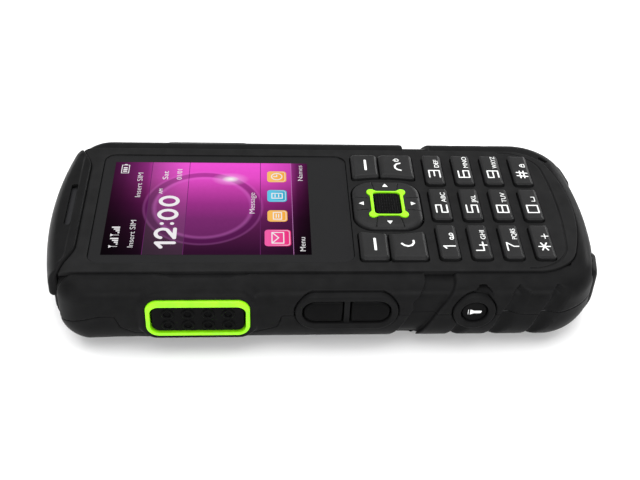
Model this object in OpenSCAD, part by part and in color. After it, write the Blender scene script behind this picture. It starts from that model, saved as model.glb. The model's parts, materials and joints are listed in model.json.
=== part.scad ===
// Rugged push-to-talk bar phone, lying on its back.
// +Z leaves the face, +Y points to the earpiece end, +X is the right-hand side.
// The origin is at the middle of the phone's footprint, on the surface it lies on.

/* [Body] */
// Width across the bare side walls
body_w = 61.5; // [61.2:0.1:61.8]
// Length of the two shells without the end pieces
shell_l = 132.8; // [132.6:0.1:133.2]
// Height of the face above the surface the phone lies on
face_z = 20.5; // [20.5:0.1:20.8]
// How far the shoulders lie below the face
face_step = 0.6; // [0.4:0.1:0.8]
// Radius of the four corners, seen from above
corner_r = 14; // [13:0.5:15]
// Radius between the sides and the shoulders
shoulder_r = 4.4; // [4:0.1:4.6]
// Radius between the sides and the back
back_r = 10.5; // [10:0.1:10.6]
// Radius between the ends and the back
end_r = 8; // [7:0.5:9]
// Height of the line where the two shells meet
parting_z = 12; // [11.8:0.1:12.2]
// Wall thickness of the shells
wall = 2.1; // [2:0.1:2.1]
// How far the end pieces and side bosses stand out
proud = 1.1; // [1:0.05:1.2]

/* [Face] */
// Width of the face plate
plate_w = 49; // [48.6:0.1:49.2]
// Thickness of the face plate
plate_t = 1.6; // [1.5:0.1:1.6]
// Lower edge of the earpiece cap
cap_y = 59.3; // [59:0.1:59.6]
// How far the earpiece cap stands above the face
cap_rise = 0.8; // [0.6:0.1:1]

/* [Display] */
// Width of the lit area
lit_w = 36.72; // [36:0.04:37]
// Height of the lit area
lit_l = 48.96; // [48:0.04:49]
// Middle of the lit area
lit_y = 29; // [28.9:0.1:29.1]
// Width of the window over it
window_w = 43; // [42.6:0.1:43.2]
// Length of the window
window_l = 62; // [61.6:0.1:62]

/* [Keypad] */
// Width of a number key
key_w = 12.5; // [12.2:0.1:12.7]
// Length of a number key
key_l = 5; // [4.8:0.1:5.1]
// Column spacing of the number keys
key_pitch_x = 14.7; // [14.6:0.1:14.8]
// Row spacing of the number keys
key_pitch_y = 7.76; // [7.7:0.02:7.8]
// Middle of the first row of number keys
key_row_y = -28.45; // [-28.5:0.05:-28.4]
// How far the keys stand above the face
key_rise = 1; // [0.8:0.1:1]
// Travel of a face key
key_travel = 0.6; // [0.4:0.1:0.6]

/* [Navigation] */
// Middle of the navigation ring
nav_y = -15; // [-15.1:0.1:-14.9]
// Width of the navigation ring
nav_w = 19.2; // [19:0.1:19.3]
// Length of the navigation ring
nav_l = 17.2; // [17:0.1:17.3]
// Width of the middle key
ok_w = 8.3; // [8.1:0.1:8.4]
// Length of the middle key
ok_l = 6.3; // [6.1:0.1:6.4]

/* [Side keys] */
// Length of the push-to-talk bezel and of the port cover
boss_l = 24.5; // [24:0.1:24.6]
// Height of the push-to-talk bezel and of the port cover
boss_h = 11.2; // [11:0.1:11.3]
// Middle of the push-to-talk bezel, along the phone
boss_y = 30.8; // [30.6:0.1:31]
// Length of the volume keys' surround
volume_l = 24.2; // [24:0.1:24.3]
// Height of the volume keys' surround
volume_h = 10.6; // [10.4:0.1:10.7]
// Diameter of the torch key's surround
torch_d = 10.3; // [10.2:0.1:10.4]

/* [Ports] */
// Radius of the headset jack's hole
jack_r = 1.8; // [1.78:0.01:1.82]
// Length of the headset jack's hole
jack_l = 12; // [11.5:0.5:12.5]

/* [Hidden] */
$fn = 64;
eps = 0.01;

half_w = body_w / 2;
half_l = shell_l / 2;
shoulder_z = face_z - face_step;
cap_z = face_z + cap_rise;
key_z = face_z + key_rise;

// Levels from the back to the face
cover_z0 = 0.2;
cover_z1 = 2;
bay_z = 8.5;
rear_deck_z = 9.4;
board_z0 = 9.8;
board_z1 = 10.8;
keyboard_z0 = 13.1;
keyboard_z1 = 14;
dome_z0 = 14.2;
mat_z0 = 15;
mat_z1 = 15.8;
flange_z0 = 16.5;
flange_z1 = 17.2;
deck_z0 = 17.3;
deck_z1 = face_z - plate_t;

// Inner face of the rear shell's back
floor_z = 2.2;

// Running clearance round every key, and the rim that holds it in
gap = 0.2;
rim = 0.6;

// Face plate and window
plate_y0 = -61.5;
window_y = 25.4;
lcd_w = 42.6;
lcd_l = 60;
lcd_y = 26.6;

// Keypad board and mat, and the two pins that hold the board down
keypad_y = -31.2;
keypad_w = 44;
keypad_l = 52.6;
pin_x = 20.8;
pin_y = -5.6;

// Keys beside the navigation ring: outer and inner edges, and the split between upper and lower
wing_x0 = 10.5;
wing_x1 = 21.2;
wing_y0 = -23.2;
wing_y1 = -6.9;
wing_split_y = -14.05;
wing_arc_r = 32.6;
wing_arc_x = 11.5;

// Navigation ring: it tilts, so its rim has more room above it
nav_r = 5;
nav_gap = 0.3;
nav_flange_z0 = 16.1;
nav_flange_z1 = 16.8;
nav_top_z = face_z + 0.8;
ok_gap = 0.4;
trim_w = 11.3;
trim_l = 10;
trim_z0 = nav_top_z - 0.4;
trim_z1 = nav_top_z + 0.4;

// Side features, all placed by their middle heights
boss_z = 12.2;
boss_r = 3;
port_cover_z = 11.7;
port_cover_h = 10.2;
talk_rim = 1.5;
// From the middle plane: seats, ends of the through holes and of cuts from outside, and the keys' rims
seat_x = 29.4;
hole_x = half_w - 5;
out_x = half_w + 5;
tongue_x = 26;
key_rim_x0 = 27.3;
key_rim_x1 = 28.1;
volume_y = -3.4;
volume_z = 13.2;
volume_key_l = 8.8;
volume_key_h = 6;
volume_pitch = 10.8;
torch_y = -33.5;
torch_z = 13;
torch_key_r = 3;
surround_x = half_w + 0.55;

// Side reliefs: the waist band and the grip grooves, which lean
waist_depth = 1.05;
groove_depth = 0.8;
groove_w = 4.8;
groove_pitch = 9.3;
groove_y = -33.2;
groove_lean = 0.42;
groove_top_z = 17;

// Battery bay and its cover
bay_w = 44.4;
bay_y0 = -46;
bay_y1 = 33;
cover_w = 46.4;
cover_y0 = -55;
cover_y1 = 34;
lock_x = 15;
lock_y = -50.5;
lock_head_r = 3.4;
lock_r = 1.95;

// Things in the rear shell above the battery bay: camera, loudspeaker, the board's upper rests
camera_y = 47;
speaker_x = -15;
rest_x = 21.5;
rest_y = 40.7;
torch_lens_z = 7.6;

// Case screws
screw_places = [
    [24.5, 56], [-24.5, 56], [26.2, -21.5], [-26.2, -21.5], [24.5, -56], [-24.5, -56]
];
screw_r = 0.8;
screw_head_r = 1.5;
screw_seat_z = 4.6;
post_r = 2.2;

// End pieces
end_wall = 1.2;
top_piece_w = 48.4;
top_piece_z0 = 12.4;
bottom_piece_w = 41;
bottom_piece_z = [3.2, 17.2];
slot_w = 16;
slot_l = 1.5;
slot_y = 62.35;

// Ports on the right-hand side
usb_y = 26;
usb_w = 7.5;
usb_h = 2.6;
jack_y = 36.5;
jack_x1 = 28.4;
port_z = 12.2;
cover_hinge_y = boss_y - boss_l / 2;

// ---- outlines and placing

module rounded(w, l, r) {
    square([w - 2 * r, l], center = true);
    square([w, l - 2 * r], center = true);
    for (sx = [-1, 1], sy = [-1, 1])
        translate([sx * (w / 2 - r), sy * (l / 2 - r)]) circle(r);
}

// A box with rounded corners seen from above, from z0 up to z1
module slab(w, l, r, z0, z1) {
    translate([0, 0, z0]) linear_extrude(z1 - z0) rounded(w, l, r);
}

// A plain box given by its middle in X and Y, from z0 up to z1
module block(w, l, z0, z1) {
    translate([-w / 2, -l / 2, z0]) cube([w, l, z1 - z0]);
}

module block_from(x0, x1, y0, y1, z0, z1) {
    translate([x0, y0, z0]) cube([x1 - x0, y1 - y0, z1 - z0]);
}

// An outline drawn in Y and Z, made solid from x0 out to x1
module from_side(x0, x1) {
    translate([x0, 0, 0]) rotate([90, 0, 90]) linear_extrude(x1 - x0) children();
}

// An outline drawn in X and Z, made solid from y0 to y1
module from_end(y0, y1) {
    translate([0, y1, 0]) rotate([90, 0, 0]) linear_extrude(y1 - y0) children();
}

// The same feature on the right or, mirrored, on the left
module on_left() {
    mirror([1, 0, 0]) children();
}

// Section of the body, rounded below by low and above by high
module section(half, low, high, z0, z1) {
    translate([-half, z0 + low]) square([2 * half, z1 - z0 - low - high]);
    translate([-half + low, z0]) square([2 * (half - low), low + 1]);
    translate([-half + high, z1 - high - 1]) square([2 * (half - high), high + 1]);
    for (s = [-1, 1]) {
        translate([s * (half - low), z0 + low]) circle(low);
        translate([s * (half - high), z1 - high]) circle(high);
    }
}

// The phone's outer form, made smaller by inset on every side, from z0 up to z1
module form(inset, z0, z1) {
    low = back_r - inset;
    low_end = end_r - inset;
    high = shoulder_r - inset;
    intersection() {
        slab(body_w - 2 * inset, shell_l - 2 * inset, corner_r - inset, z0, z1);
        from_end(-half_l - 5, half_l + 5) section(half_w - inset, low, high, z0, z1);
        from_side(-half_w - 5, half_w + 5) section(half_l - inset, low_end, high, z0, z1);
    }
}

// The joint line dips round the boss on each side
module tongue_outline() {
    polygon([
        [49.9, parting_z + eps], [48.5, 8.7], [45.3, 6.4], [17.9, 6.4], [13, 8.7], [11.5, parting_z + eps]
    ]);
}

module tongues() {
    for (s = [0, 1]) mirror([s, 0, 0]) from_side(tongue_x, out_x) tongue_outline();
}

// Inside of the walls, and their middle
module hollow() {
    form(wall, wall, shoulder_z - wall);
}

module mid_wall() {
    form(wall / 2, wall / 2, shoulder_z - wall / 2);
}

// The band pressed into each side at the waist, leaning towards the earpiece as it goes down
module waist_outline() {
    polygon([
        [-22.4, 20.5], [-19.5, 16], [-16.3, 7.5], [-12.5, -1],
        [-18.8, -1], [-22.2, 7.1], [-25.6, 14.3], [-29.8, 20.5]
    ]);
}

// One grip groove, with a round upper end
module groove_outline(i) {
    y = groove_y - groove_pitch * i;
    top = y - (groove_top_z - parting_z) * groove_lean;
    low = y + (parting_z + 1) * groove_lean;
    polygon([
        [top - groove_w / 2, groove_top_z], [top + groove_w / 2, groove_top_z],
        [low + groove_w / 2, -1], [low - groove_w / 2, -1]
    ]);
    translate([top, groove_top_z]) circle(groove_w / 2);
}

module side_reliefs() {
    for (s = [0, 1]) mirror([s, 0, 0]) {
        from_side(half_w - waist_depth, out_x) waist_outline();
        for (i = [0 : 2])
            from_side(half_w - groove_depth, out_x) groove_outline(i);
    }
}

module boss_outline(shrink) {
    translate([boss_y, boss_z])
        rounded(boss_l - 2 * shrink, boss_h - 2 * shrink, boss_r - shrink);
}

module port_outline(shrink) {
    translate([boss_y, port_cover_z])
        rounded(boss_l - 2 * shrink, port_cover_h - 2 * shrink, boss_r - shrink);
}

module volume_outline(shrink) {
    translate([volume_y, volume_z])
        rounded(volume_l - 2 * shrink, volume_h - 2 * shrink, volume_h / 2 - shrink - eps);
}

module volume_key_outline(side, grow) {
    translate([volume_y + side * volume_pitch / 2, volume_z])
        rounded(volume_key_l + 2 * grow, volume_key_h + 2 * grow, 2 + grow);
}

module torch_outline(r) {
    translate([torch_y, torch_z]) circle(r);
}

// ---- shells and covers

module case_posts(z0, z1) {
    for (p = screw_places) translate([p[0], p[1], z0]) cylinder(r = post_r, h = z1 - z0);
}

module at_number_keys() {
    for (col = [-1 : 1], row = [0 : 3])
        translate([col * key_pitch_x, key_row_y - row * key_pitch_y]) children();
}

module face_openings(z0, z1) {
    at_number_keys() slab(key_w + 2 * gap, key_l + 2 * gap, 1 + gap, z0, z1);
    // Soft, call and end keys
    for (s = [-1, 1]) for (upper = [true, false])
        wing_key(s, upper, gap, z0, z1);
    // Navigation ring
    translate([0, nav_y]) slab(nav_w + 2 * nav_gap, nav_l + 2 * nav_gap, nav_r + nav_gap, z0, z1);
}

module front_shell() {
    color("#26262a") difference() {
        union() {
            difference() {
                union() {
                    intersection() {
                        form(0, 0, shoulder_z);
                        block(80, 160, parting_z, 30);
                    }
                    intersection() {
                        form(0, 0, shoulder_z);
                        tongues();
                    }
                }
                // Inside, up to the deck that carries the face plate
                intersection() {
                    hollow();
                    block(80, 160, -1, deck_z0);
                }
                // Seat of the face plate
                translate([0, (cap_y + plate_y0) / 2])
                    slab(plate_w, cap_y - plate_y0, 6, deck_z1, 30);
            }
            // Screw posts, and the pins that hold the keypad board down
            intersection() {
                mid_wall();
                union() {
                    case_posts(parting_z, deck_z0 + eps);
                    for (s = [-1, 1]) translate([s * pin_x, pin_y, keyboard_z1])
                        cylinder(r = 1, h = deck_z0 - keyboard_z1 + eps);
                }
            }
        }
        // Display, key and earpiece openings in the deck
        translate([0, lit_y]) block(lit_w + 1.6, lit_l + 1.6, deck_z0 - 1, 30);
        face_openings(deck_z0 - 1, 30);
        translate([0, slot_y - 0.6]) block(12, 2.4, deck_z0 - 1, 30);
        // Seats of the end pieces
        end_seat_top();
        end_seat_bottom();
        side_reliefs();
        // Seats and holes of the left-hand keys
        on_left() {
            from_side(seat_x, out_x) boss_outline(0);
            from_side(hole_x, out_x) boss_outline(talk_rim - 0.25);
        }
        side_key_openings();
        // Pocket of the port cover, and the holes behind it
        from_side(seat_x, out_x) port_outline(-0.1);
        from_side(hole_x, out_x) translate([usb_y, port_z]) rounded(9.5, 4.6, 1);
        from_side(hole_x, out_x) translate([jack_y, port_z]) circle(3.2);
        // Screw holes
        for (p = screw_places) translate([p[0], p[1], parting_z - 1])
            cylinder(r = screw_r, h = 4.2);
        microphone_slot();
    }
}

// Small slot at the lower right corner of the face
module microphone_slot() {
    translate([21.3, -59.2]) rotate([0, 0, 42]) block(2.8, 0.9, shoulder_z - 1.6, 30);
}

// Seats of the volume and torch surrounds on the left-hand side, and the holes for their keys
module side_key_openings() {
    on_left() {
        from_side(seat_x, out_x) volume_outline(0);
        for (s = [-1, 1]) from_side(hole_x, out_x) volume_key_outline(s, gap);
        from_side(seat_x, out_x) torch_outline(torch_d / 2);
        from_side(hole_x, out_x) torch_outline(torch_key_r + gap);
    }
}

module end_seat_top() {
    block_from(-top_piece_w / 2, top_piece_w / 2, cap_y, 70, deck_z1, 30);
    block_from(-top_piece_w / 2, top_piece_w / 2, half_l - end_wall, 70, top_piece_z0, 30);
}

module end_seat_bottom() {
    block_from(-bottom_piece_w / 2, bottom_piece_w / 2, -70, -half_l + 1,
        bottom_piece_z[0], bottom_piece_z[1]);
}

module rear_shell() {
    color("#222225") difference() {
        union() {
            difference() {
                intersection() {
                    form(0, 0, shoulder_z);
                    block(80, 160, -1, parting_z);
                }
                tongues();
                intersection() {
                    hollow();
                    block(80, 160, floor_z, 30);
                }
            }
            // Battery bay walls, its ceiling, and the block that takes the cover's locks
            intersection() {
                mid_wall();
                union() {
                    translate([0, (cover_y0 + cover_y1) / 2])
                        block(bay_w + 3.2, cover_y1 - cover_y0 + 3, 1, rear_deck_z);
                    case_posts(1, parting_z);
                }
            }
            // Rests of the main board
            for (sx = [-1, 1]) {
                translate([sx * rest_x, -42, bay_z]) cylinder(r = 1.1, h = board_z0 - bay_z);
                translate([sx * rest_x, rest_y, 1]) cylinder(r = 1.1, h = board_z0 - 1);
            }
        }
        block_from(-bay_w / 2, bay_w / 2, bay_y0, bay_y1, 1, bay_z);
        // Rebate of the battery cover
        block_from(-cover_w / 2 - gap, cover_w / 2 + gap, cover_y0 - gap, cover_y1 + gap, -1, cover_z1);
        // Bores of the cover's locks
        for (s = [-1, 1]) translate([s * lock_x, lock_y, 0]) cylinder(r = lock_r + 0.15, h = 7.6);
        // Contacts come through the bay's ceiling
        block_from(-9, 9, 6, 11, bay_z - 1, rear_deck_z + 1);
        // Counterbores and holes of the case screws
        for (p = screw_places) translate([p[0], p[1], -1]) {
            cylinder(r = screw_head_r + 0.2, h = screw_seat_z + 1);
            cylinder(r = screw_r + 0.1, h = parting_z + 5);
        }
        // Camera window, camera barrel and sound slots
        translate([0, camera_y, -1]) cylinder(r = 4, h = 2.1);
        translate([0, camera_y, -1]) cylinder(r = 3, h = 5);
        for (i = [-2 : 2]) translate([speaker_x, camera_y + i * 2]) block(9, 1, -1, 4);
        // Torch lens in the upper end
        translate([0, half_l + 1, torch_lens_z]) rotate([90, 0, 0]) cylinder(r = 2.8, h = 5);
        end_seat_bottom();
        side_reliefs();
        side_key_openings();
        // Seal groove in the rim
        gasket_ring(parting_z - 0.5, parting_z + 1);
    }
}

// The seal runs in a groove in the rim, between the seats and the inside of the walls
module gasket_ring(z0, z1) {
    difference() {
        slab(body_w - 2.8, shell_l - 2.8, corner_r - 1.4, z0, z1);
        slab(body_w - 3.8, shell_l - 3.8, corner_r - 1.9, z0 - 1, z1 + 1);
    }
}

// It stops at the tongues and at the side keys
module shell_gasket() {
    color("#3a3a3c") difference() {
        gasket_ring(parting_z - 0.5, parting_z);
        for (s = [-1, 1]) translate([s * half_w, 30.7]) block(12, 40, 10, 14);
        translate([-half_w, volume_y]) block(12, volume_l, 10, 14);
        translate([-half_w, torch_y]) block(12, torch_d, 10, 14);
    }
}

module face_plate() {
    color("#2b2b2f") difference() {
        translate([0, (cap_y + plate_y0) / 2])
            slab(plate_w - 0.1, cap_y - plate_y0 - 0.1, 5.95, deck_z1, face_z);
        translate([0, window_y]) slab(window_w + 0.2, window_l + 0.2, 3.1, 0, 30);
        face_openings(0, 30);
        microphone_slot();
    }
}

module top_cap() {
    color("#2b2b2f") difference() {
        intersection() {
            form(-proud, 0, cap_z);
            union() {
                block_from(-top_piece_w / 2, top_piece_w / 2, cap_y + 0.05, 70, deck_z1, 30);
                block_from(-top_piece_w / 2, top_piece_w / 2, half_l - end_wall, 70, top_piece_z0, 30);
            }
        }
        translate([0, slot_y]) slab(slot_w, slot_l, 0.7, 0, 30);
        translate([0, slot_y]) block(18, 3.2, 0, deck_z1 + 1);
    }
}

module bottom_bumper() {
    color("#262629") intersection() {
        form(-proud, 0, shoulder_z + proud);
        block_from(-bottom_piece_w / 2 + 0.05, bottom_piece_w / 2 - 0.05, -70, -half_l + 1,
            bottom_piece_z[0] + 0.05, bottom_piece_z[1] - 0.05);
    }
}

module case_screws() {
    color("#8d8d90") for (p = screw_places) translate([p[0], p[1], 0]) {
        translate([0, 0, screw_seat_z - 1.1]) difference() {
            cylinder(r = screw_head_r, h = 1.1);
            translate([0, 0, -1]) cylinder(r = 0.7, h = 1.6, $fn = 6);
        }
        translate([0, 0, screw_seat_z]) cylinder(r = screw_r, h = 10.3);
    }
}

// ---- display and earpiece

module display_window() {
    color("#101014") translate([0, window_y]) slab(window_w, window_l, 3, deck_z1, face_z - 0.4);
}

module lcd_module() {
    color("#7d1fa0") {
        translate([0, lcd_y]) block(lcd_w, lcd_l, deck_z0 - 2.4, deck_z0);
        translate([0, lit_y]) block(lit_w, lit_l, deck_z0, deck_z0 + 0.6);
    }
}

module earpiece_mesh() {
    color("#6a6a6c") translate([0, slot_y]) block(17.6, 2.8, deck_z1 + 0.5, deck_z1 + 0.9);
}

module earpiece_speaker() {
    color("#45454a") translate([0, 60.3]) slab(15, 5.6, 2.5, deck_z0 - 3, deck_z0);
}

// ---- keypad

module keypad_mat() {
    color("#4b4b4e") difference() {
        union() {
            translate([0, keypad_y]) block(keypad_w, keypad_l, mat_z0, mat_z1);
            at_number_keys() translate([0, 0, mat_z0 - 0.3]) cylinder(r = 1, h = 0.3 + eps);
        }
        translate([0, nav_y]) block(20.8, 19.6, 0, 30);
        for (s = [-1, 1]) translate([s * pin_x, pin_y]) block(2.6, 2.6, 0, 30);
    }
}

module dome_sheet() {
    color("#c9c9cc") {
        translate([0, keypad_y - 0.8]) block(keypad_w - 1, keypad_l - 3.2, keyboard_z1, dome_z0);
        at_number_keys() dome();
        for (s = [-1, 1], y = [-10.4, -18.6]) translate([s * 15.8, y]) dome();
        translate([0, nav_y]) dome();
    }
}

module dome() {
    translate([0, 0, dome_z0]) cylinder(r1 = 2, r2 = 1.2, h = 0.35);
}

module keypad_board() {
    color("#1d5a34") translate([0, keypad_y]) block(keypad_w, keypad_l + 1, keyboard_z0, keyboard_z1);
}

module number_key(col, row) {
    color("#303034") translate([col * key_pitch_x, key_row_y - row * key_pitch_y]) {
        slab(key_w + 2 * rim, key_l + 2 * rim, 0.8, flange_z0, flange_z1);
        slab(key_w, key_l, 1, flange_z1 - eps, key_z - 0.3);
        slab(key_w - 0.6, key_l - 0.6, 0.8, key_z - 0.3 - eps, key_z);
    }
}

// A key beside the navigation ring, with its inner edge curved round it
module wing_key(side, upper, grow, z0, z1) {
    y0 = (upper ? wing_split_y + gap / 2 : wing_y0) - grow;
    y1 = (upper ? wing_y1 : wing_split_y - gap / 2) + grow;
    mirror([side < 0 ? 1 : 0, 0, 0]) difference() {
        translate([(wing_x0 + wing_x1) / 2, (y0 + y1) / 2])
            slab(wing_x1 - wing_x0 + 2 * grow, y1 - y0, 1.2, z0, z1);
        translate([wing_arc_x - grow - wing_arc_r, nav_y, z0 - 1])
            cylinder(r = wing_arc_r, h = z1 - z0 + 2, $fn = 180);
    }
}

module side_key(side, upper) {
    color("#303034") {
        wing_key(side, upper, -0.05, flange_z0, key_z - 0.3);
        wing_key(side, upper, -0.35, key_z - 0.3 - eps, key_z);
        // Rim on the outer edge only, because the keys stand close together
        y0 = upper ? wing_split_y + 0.8 : wing_y0 + 0.8;
        y1 = upper ? wing_y1 - 0.8 : wing_split_y - 0.8;
        mirror([side < 0 ? 1 : 0, 0, 0])
            block_from(wing_x1 - 1, wing_x1 + rim, y0, y1, flange_z0, flange_z1);
    }
}

// ---- navigation key

module nav_web() {
    color("#55555a") translate([0, nav_y]) {
        difference() {
            slab(18, 16, 3, mat_z0 + 0.1, mat_z0 + 0.6);
            cylinder(r = 3, h = 30);
        }
        // Ridges that the web and the ring rock on
        for (s = [-1, 1]) {
            translate([s * 6.5, 0, mat_z0 + 0.6]) block(3, 0.6, -eps, 0.3);
            translate([0, s * 5.5, mat_z0 + 0.1]) block(0.6, 3, -0.5, eps);
        }
    }
}

module nav_ring() {
    color("#303034") translate([0, nav_y]) difference() {
        union() {
            slab(nav_w, nav_l + 1.4, 4, nav_flange_z0, nav_flange_z1);
            slab(nav_w, nav_l, nav_r, nav_flange_z1 - eps, nav_top_z - 0.3);
            slab(nav_w - 0.8, nav_l - 0.8, nav_r - 0.4, nav_top_z - 0.3 - eps, nav_top_z);
        }
        slab(ok_w + 2 * ok_gap, ok_l + 2 * ok_gap, 1.4, 0, 30);
        // Pocket for the middle key's rim
        slab(ok_w + 2.2, ok_l + 2.2, 1, 0, 17.6);
        slab(trim_w, trim_l, 2, trim_z0, 30);
    }
}

module nav_trim() {
    color("#8fe02a") translate([0, nav_y]) difference() {
        slab(trim_w, trim_l, 2, trim_z0, trim_z1);
        slab(ok_w + 2 * ok_gap, ok_l + 2 * ok_gap, 1.4, 0, 30);
    }
}

module ok_key() {
    color("#1c1c1f") translate([0, nav_y]) {
        slab(ok_w + 1.2, ok_l + 1.2, 1, flange_z0, flange_z1);
        slab(ok_w, ok_l, 1, flange_z1 - eps, key_z);
    }
}

// ---- side keys

module talk_bezel() {
    color("#8fe02a") on_left() from_side(seat_x, half_w + proud) difference() {
        boss_outline(0);
        boss_outline(talk_rim);
    }
}

module talk_key() {
    color("#1c1c1f") on_left() difference() {
        union() {
            from_side(key_rim_x0, key_rim_x1) translate([boss_y, boss_z + 0.2])
                rounded(boss_l - 1.2, boss_h - 2.2, boss_r - 1);
            from_side(key_rim_x1 - eps, half_w + proud - 0.45) boss_outline(talk_rim + gap);
        }
        // Eight round dimples
        for (i = [-1.5 : 1.5], j = [-0.5, 0.5])
            from_side(half_w + proud - 0.7, out_x)
                translate([boss_y + i * 4.6, boss_z + j * 3.7]) circle(1.2);
    }
}

module volume_surround() {
    color("#2b2b2f") on_left() from_side(seat_x, surround_x) difference() {
        volume_outline(0.05);
        for (s = [-1, 1]) volume_key_outline(s, gap);
    }
}

module volume_key(side) {
    color("#232326") on_left() {
        from_side(key_rim_x0, key_rim_x1) volume_key_outline(side, 0.7);
        from_side(key_rim_x1 - eps, surround_x - 0.4) volume_key_outline(side, 0);
    }
}

module torch_surround() {
    color("#2b2b2f") on_left() from_side(seat_x, surround_x) difference() {
        torch_outline(torch_d / 2 - 0.05);
        torch_outline(torch_key_r + gap);
    }
}

module torch_key() {
    color("#232326") on_left() {
        from_side(key_rim_x0, key_rim_x1) torch_outline(torch_key_r + 0.7);
        from_side(key_rim_x1 - eps, surround_x - 0.6) torch_outline(torch_key_r);
    }
}

// Small press switches on the board's left edge, one behind each side key
module side_switches() {
    color("#b9b9bd") for (y = [boss_y, volume_y + volume_pitch / 2, volume_y - volume_pitch / 2, torch_y])
        on_left() translate([0, y]) {
            block_from(22, 25.6, -2, 2, board_z1, board_z1 + 2);
            block_from(25.6 - eps, 26.3, -1, 1, board_z1 + 0.4, board_z1 + 1.4);
        }
}

// ---- upper end

module torch_led() {
    color("#e8e2b0") translate([0, 59, torch_lens_z]) rotate([-90, 0, 0]) {
        translate([-2.2, -2.2, 0]) cube([4.4, 4.4, 1.4]);
        cylinder(r1 = 1.2, r2 = 2.3, h = 3);
    }
}

module torch_lens() {
    color("#dfe8ee") translate([0, 62.4, torch_lens_z]) rotate([-90, 0, 0])
        cylinder(r = 2.7, h = half_l - 62.9);
}

// ---- power

module battery() {
    color("#3c4a58") {
        block_from(-21.8, 21.8, -45, 12.5, cover_z1 + 0.2, bay_z - 0.2);
        // Contact pads
        for (i = [-1 : 1]) block_from(i * 5 - 1.5, i * 5 + 1.5, 7, 10, bay_z - 0.2 - eps, bay_z - 0.1);
    }
}

module battery_contacts() {
    color("#d8b45a") {
        block_from(-8.5, 8.5, 6.5, 10.5, bay_z + 0.6, board_z0);
        for (i = [-1 : 1]) block_from(i * 5 - 0.8, i * 5 + 0.8, 7.5, 9.5, bay_z, bay_z + 0.6 + eps);
    }
}

module battery_cover() {
    color("#242427") difference() {
        intersection() {
            form(0, 0, shoulder_z);
            block_from(-cover_w / 2, cover_w / 2, cover_y0, cover_y1, cover_z0, cover_z1);
        }
        for (s = [-1, 1]) translate([s * lock_x, lock_y, -1]) {
            cylinder(r = lock_head_r + 0.1, h = 2.2);
            cylinder(r = lock_r + 0.1, h = 5);
        }
    }
}

module cover_lock(side) {
    color("#8d8d90") translate([side * lock_x, lock_y, 0]) difference() {
        union() {
            translate([0, 0, cover_z0 + 0.1]) cylinder(r = lock_head_r, h = 0.9);
            translate([0, 0, cover_z0 + 1 - eps]) cylinder(r = lock_r, h = 6);
        }
        // Coin slot
        block(5.4, 1, -1, cover_z0 + 0.6);
    }
}

// ---- boards and modules

module main_board() {
    color("#1d5a34") difference() {
        block(47, 106, board_z0, board_z1);
        // Notches for the two sockets on the right-hand edge
        block_from(15, 30, jack_y - 3.4, jack_y + 3.4, 0, 30);
    }
}

module shield_cans() {
    color("#c4c6c8") {
        block_from(-18, 2, 14, 42, board_z1, board_z1 + 1.8);
        block_from(-16, 16, -44, -14, board_z1, board_z1 + 1.8);
    }
}

module card_sockets() {
    color("#c0c0c4") {
        // Two for phone cards, one for a memory card
        for (s = [-1, 1]) difference() {
            translate([s * 11.2, 24.8]) block(17, 14.6, 5.6, 7.4);
            translate([s * 11.2, 21]) block(15, 14.6, 6, 7);
        }
        translate([0, 24.8]) block(2, 14.6, 7.4 - eps, bay_z);
        for (s = [-1, 1]) translate([s * 11.2, 30]) block(13, 3, 7.4 - eps, bay_z);
    }
}

module camera_module() {
    color("#1a1a1c") translate([0, camera_y]) {
        block(8.6, 8.6, 3, 8.4);
        translate([0, 0, 0.9]) cylinder(r = 2.8, h = 2.2);
    }
}

module camera_window() {
    color("#16181c") translate([0, camera_y, 0.3]) difference() {
        cylinder(r = 3.9, h = 0.8);
        translate([0, 0, 0.5]) cylinder(r = 3, h = 5);
    }
}

module loudspeaker() {
    color("#45454a") translate([speaker_x, camera_y]) slab(14, 11, 2, floor_z + 0.1, 5.6);
}

module vibration_motor() {
    color("#a9a9ac") translate([14, 52, 5]) rotate([0, 90, 0]) {
        cylinder(r = 2, h = 8, center = true);
        translate([0, 0, -6.5]) intersection() {
            cylinder(r = 2.2, h = 2.4, center = true);
            translate([-3, 0, -3]) cube([6, 3, 6]);
        }
        translate([0, 0, -5]) cylinder(r = 0.4, h = 3, center = true);
    }
}

module antenna() {
    color("#b98a3c") {
        block_from(-20, -6, 58, 61.5, 9.8, 10.1);
        block_from(6, 20, 58, 61.5, 9.8, 10.1);
        block_from(-20, 20, 54.5, 58 + eps, 9.8, 10.1);
    }
}

// ---- ports

module port_cover() {
    color("#262629") difference() {
        union() {
            from_side(seat_x + 0.1, half_w + proud) port_outline(0);
            // Plugs that seal the two sockets
            from_side(seat_x - 0.8, seat_x + 0.2) translate([usb_y, port_z]) rounded(6.4, 1.6, 0.4);
            from_side(seat_x - 0.8, seat_x + 0.2) translate([jack_y, port_z]) circle(1.1);
        }
        // Relief that lets the hinge end swing out
        translate([half_w, cover_hinge_y, 0]) rotate([0, 0, 45])
            block_from(0, 5, -3, 0, 0, 30);
        // Finger nick at the free end
        translate([half_w + proud, boss_y + boss_l / 2, port_cover_z - 3]) cylinder(r = 0.8, h = 6);
    }
}

module usb_port() {
    color("#c0c0c4") translate([0, usb_y]) difference() {
        block_from(22, jack_x1, -usb_w / 2, usb_w / 2, port_z - usb_h / 2, port_z + usb_h / 2);
        block_from(23, 30, -3.4, 3.4, port_z - 0.9, port_z + 0.9);
    }
}

module along_jack(r, x0, x1) {
    translate([x0, jack_y, port_z]) rotate([0, 90, 0]) cylinder(r = r, h = x1 - x0);
}

module headset_jack() {
    color("#1a1a1c") difference() {
        union() {
            translate([0, jack_y])
                block_from(jack_x1 - jack_l - 1, jack_x1 - 1, -3, 3, port_z - 2.6, port_z + 1.6);
            along_jack(2.6, jack_x1 - jack_l - 1, jack_x1);
        }
        along_jack(jack_r, jack_x1 - jack_l, jack_x1 + 1);
    }
}

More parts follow.
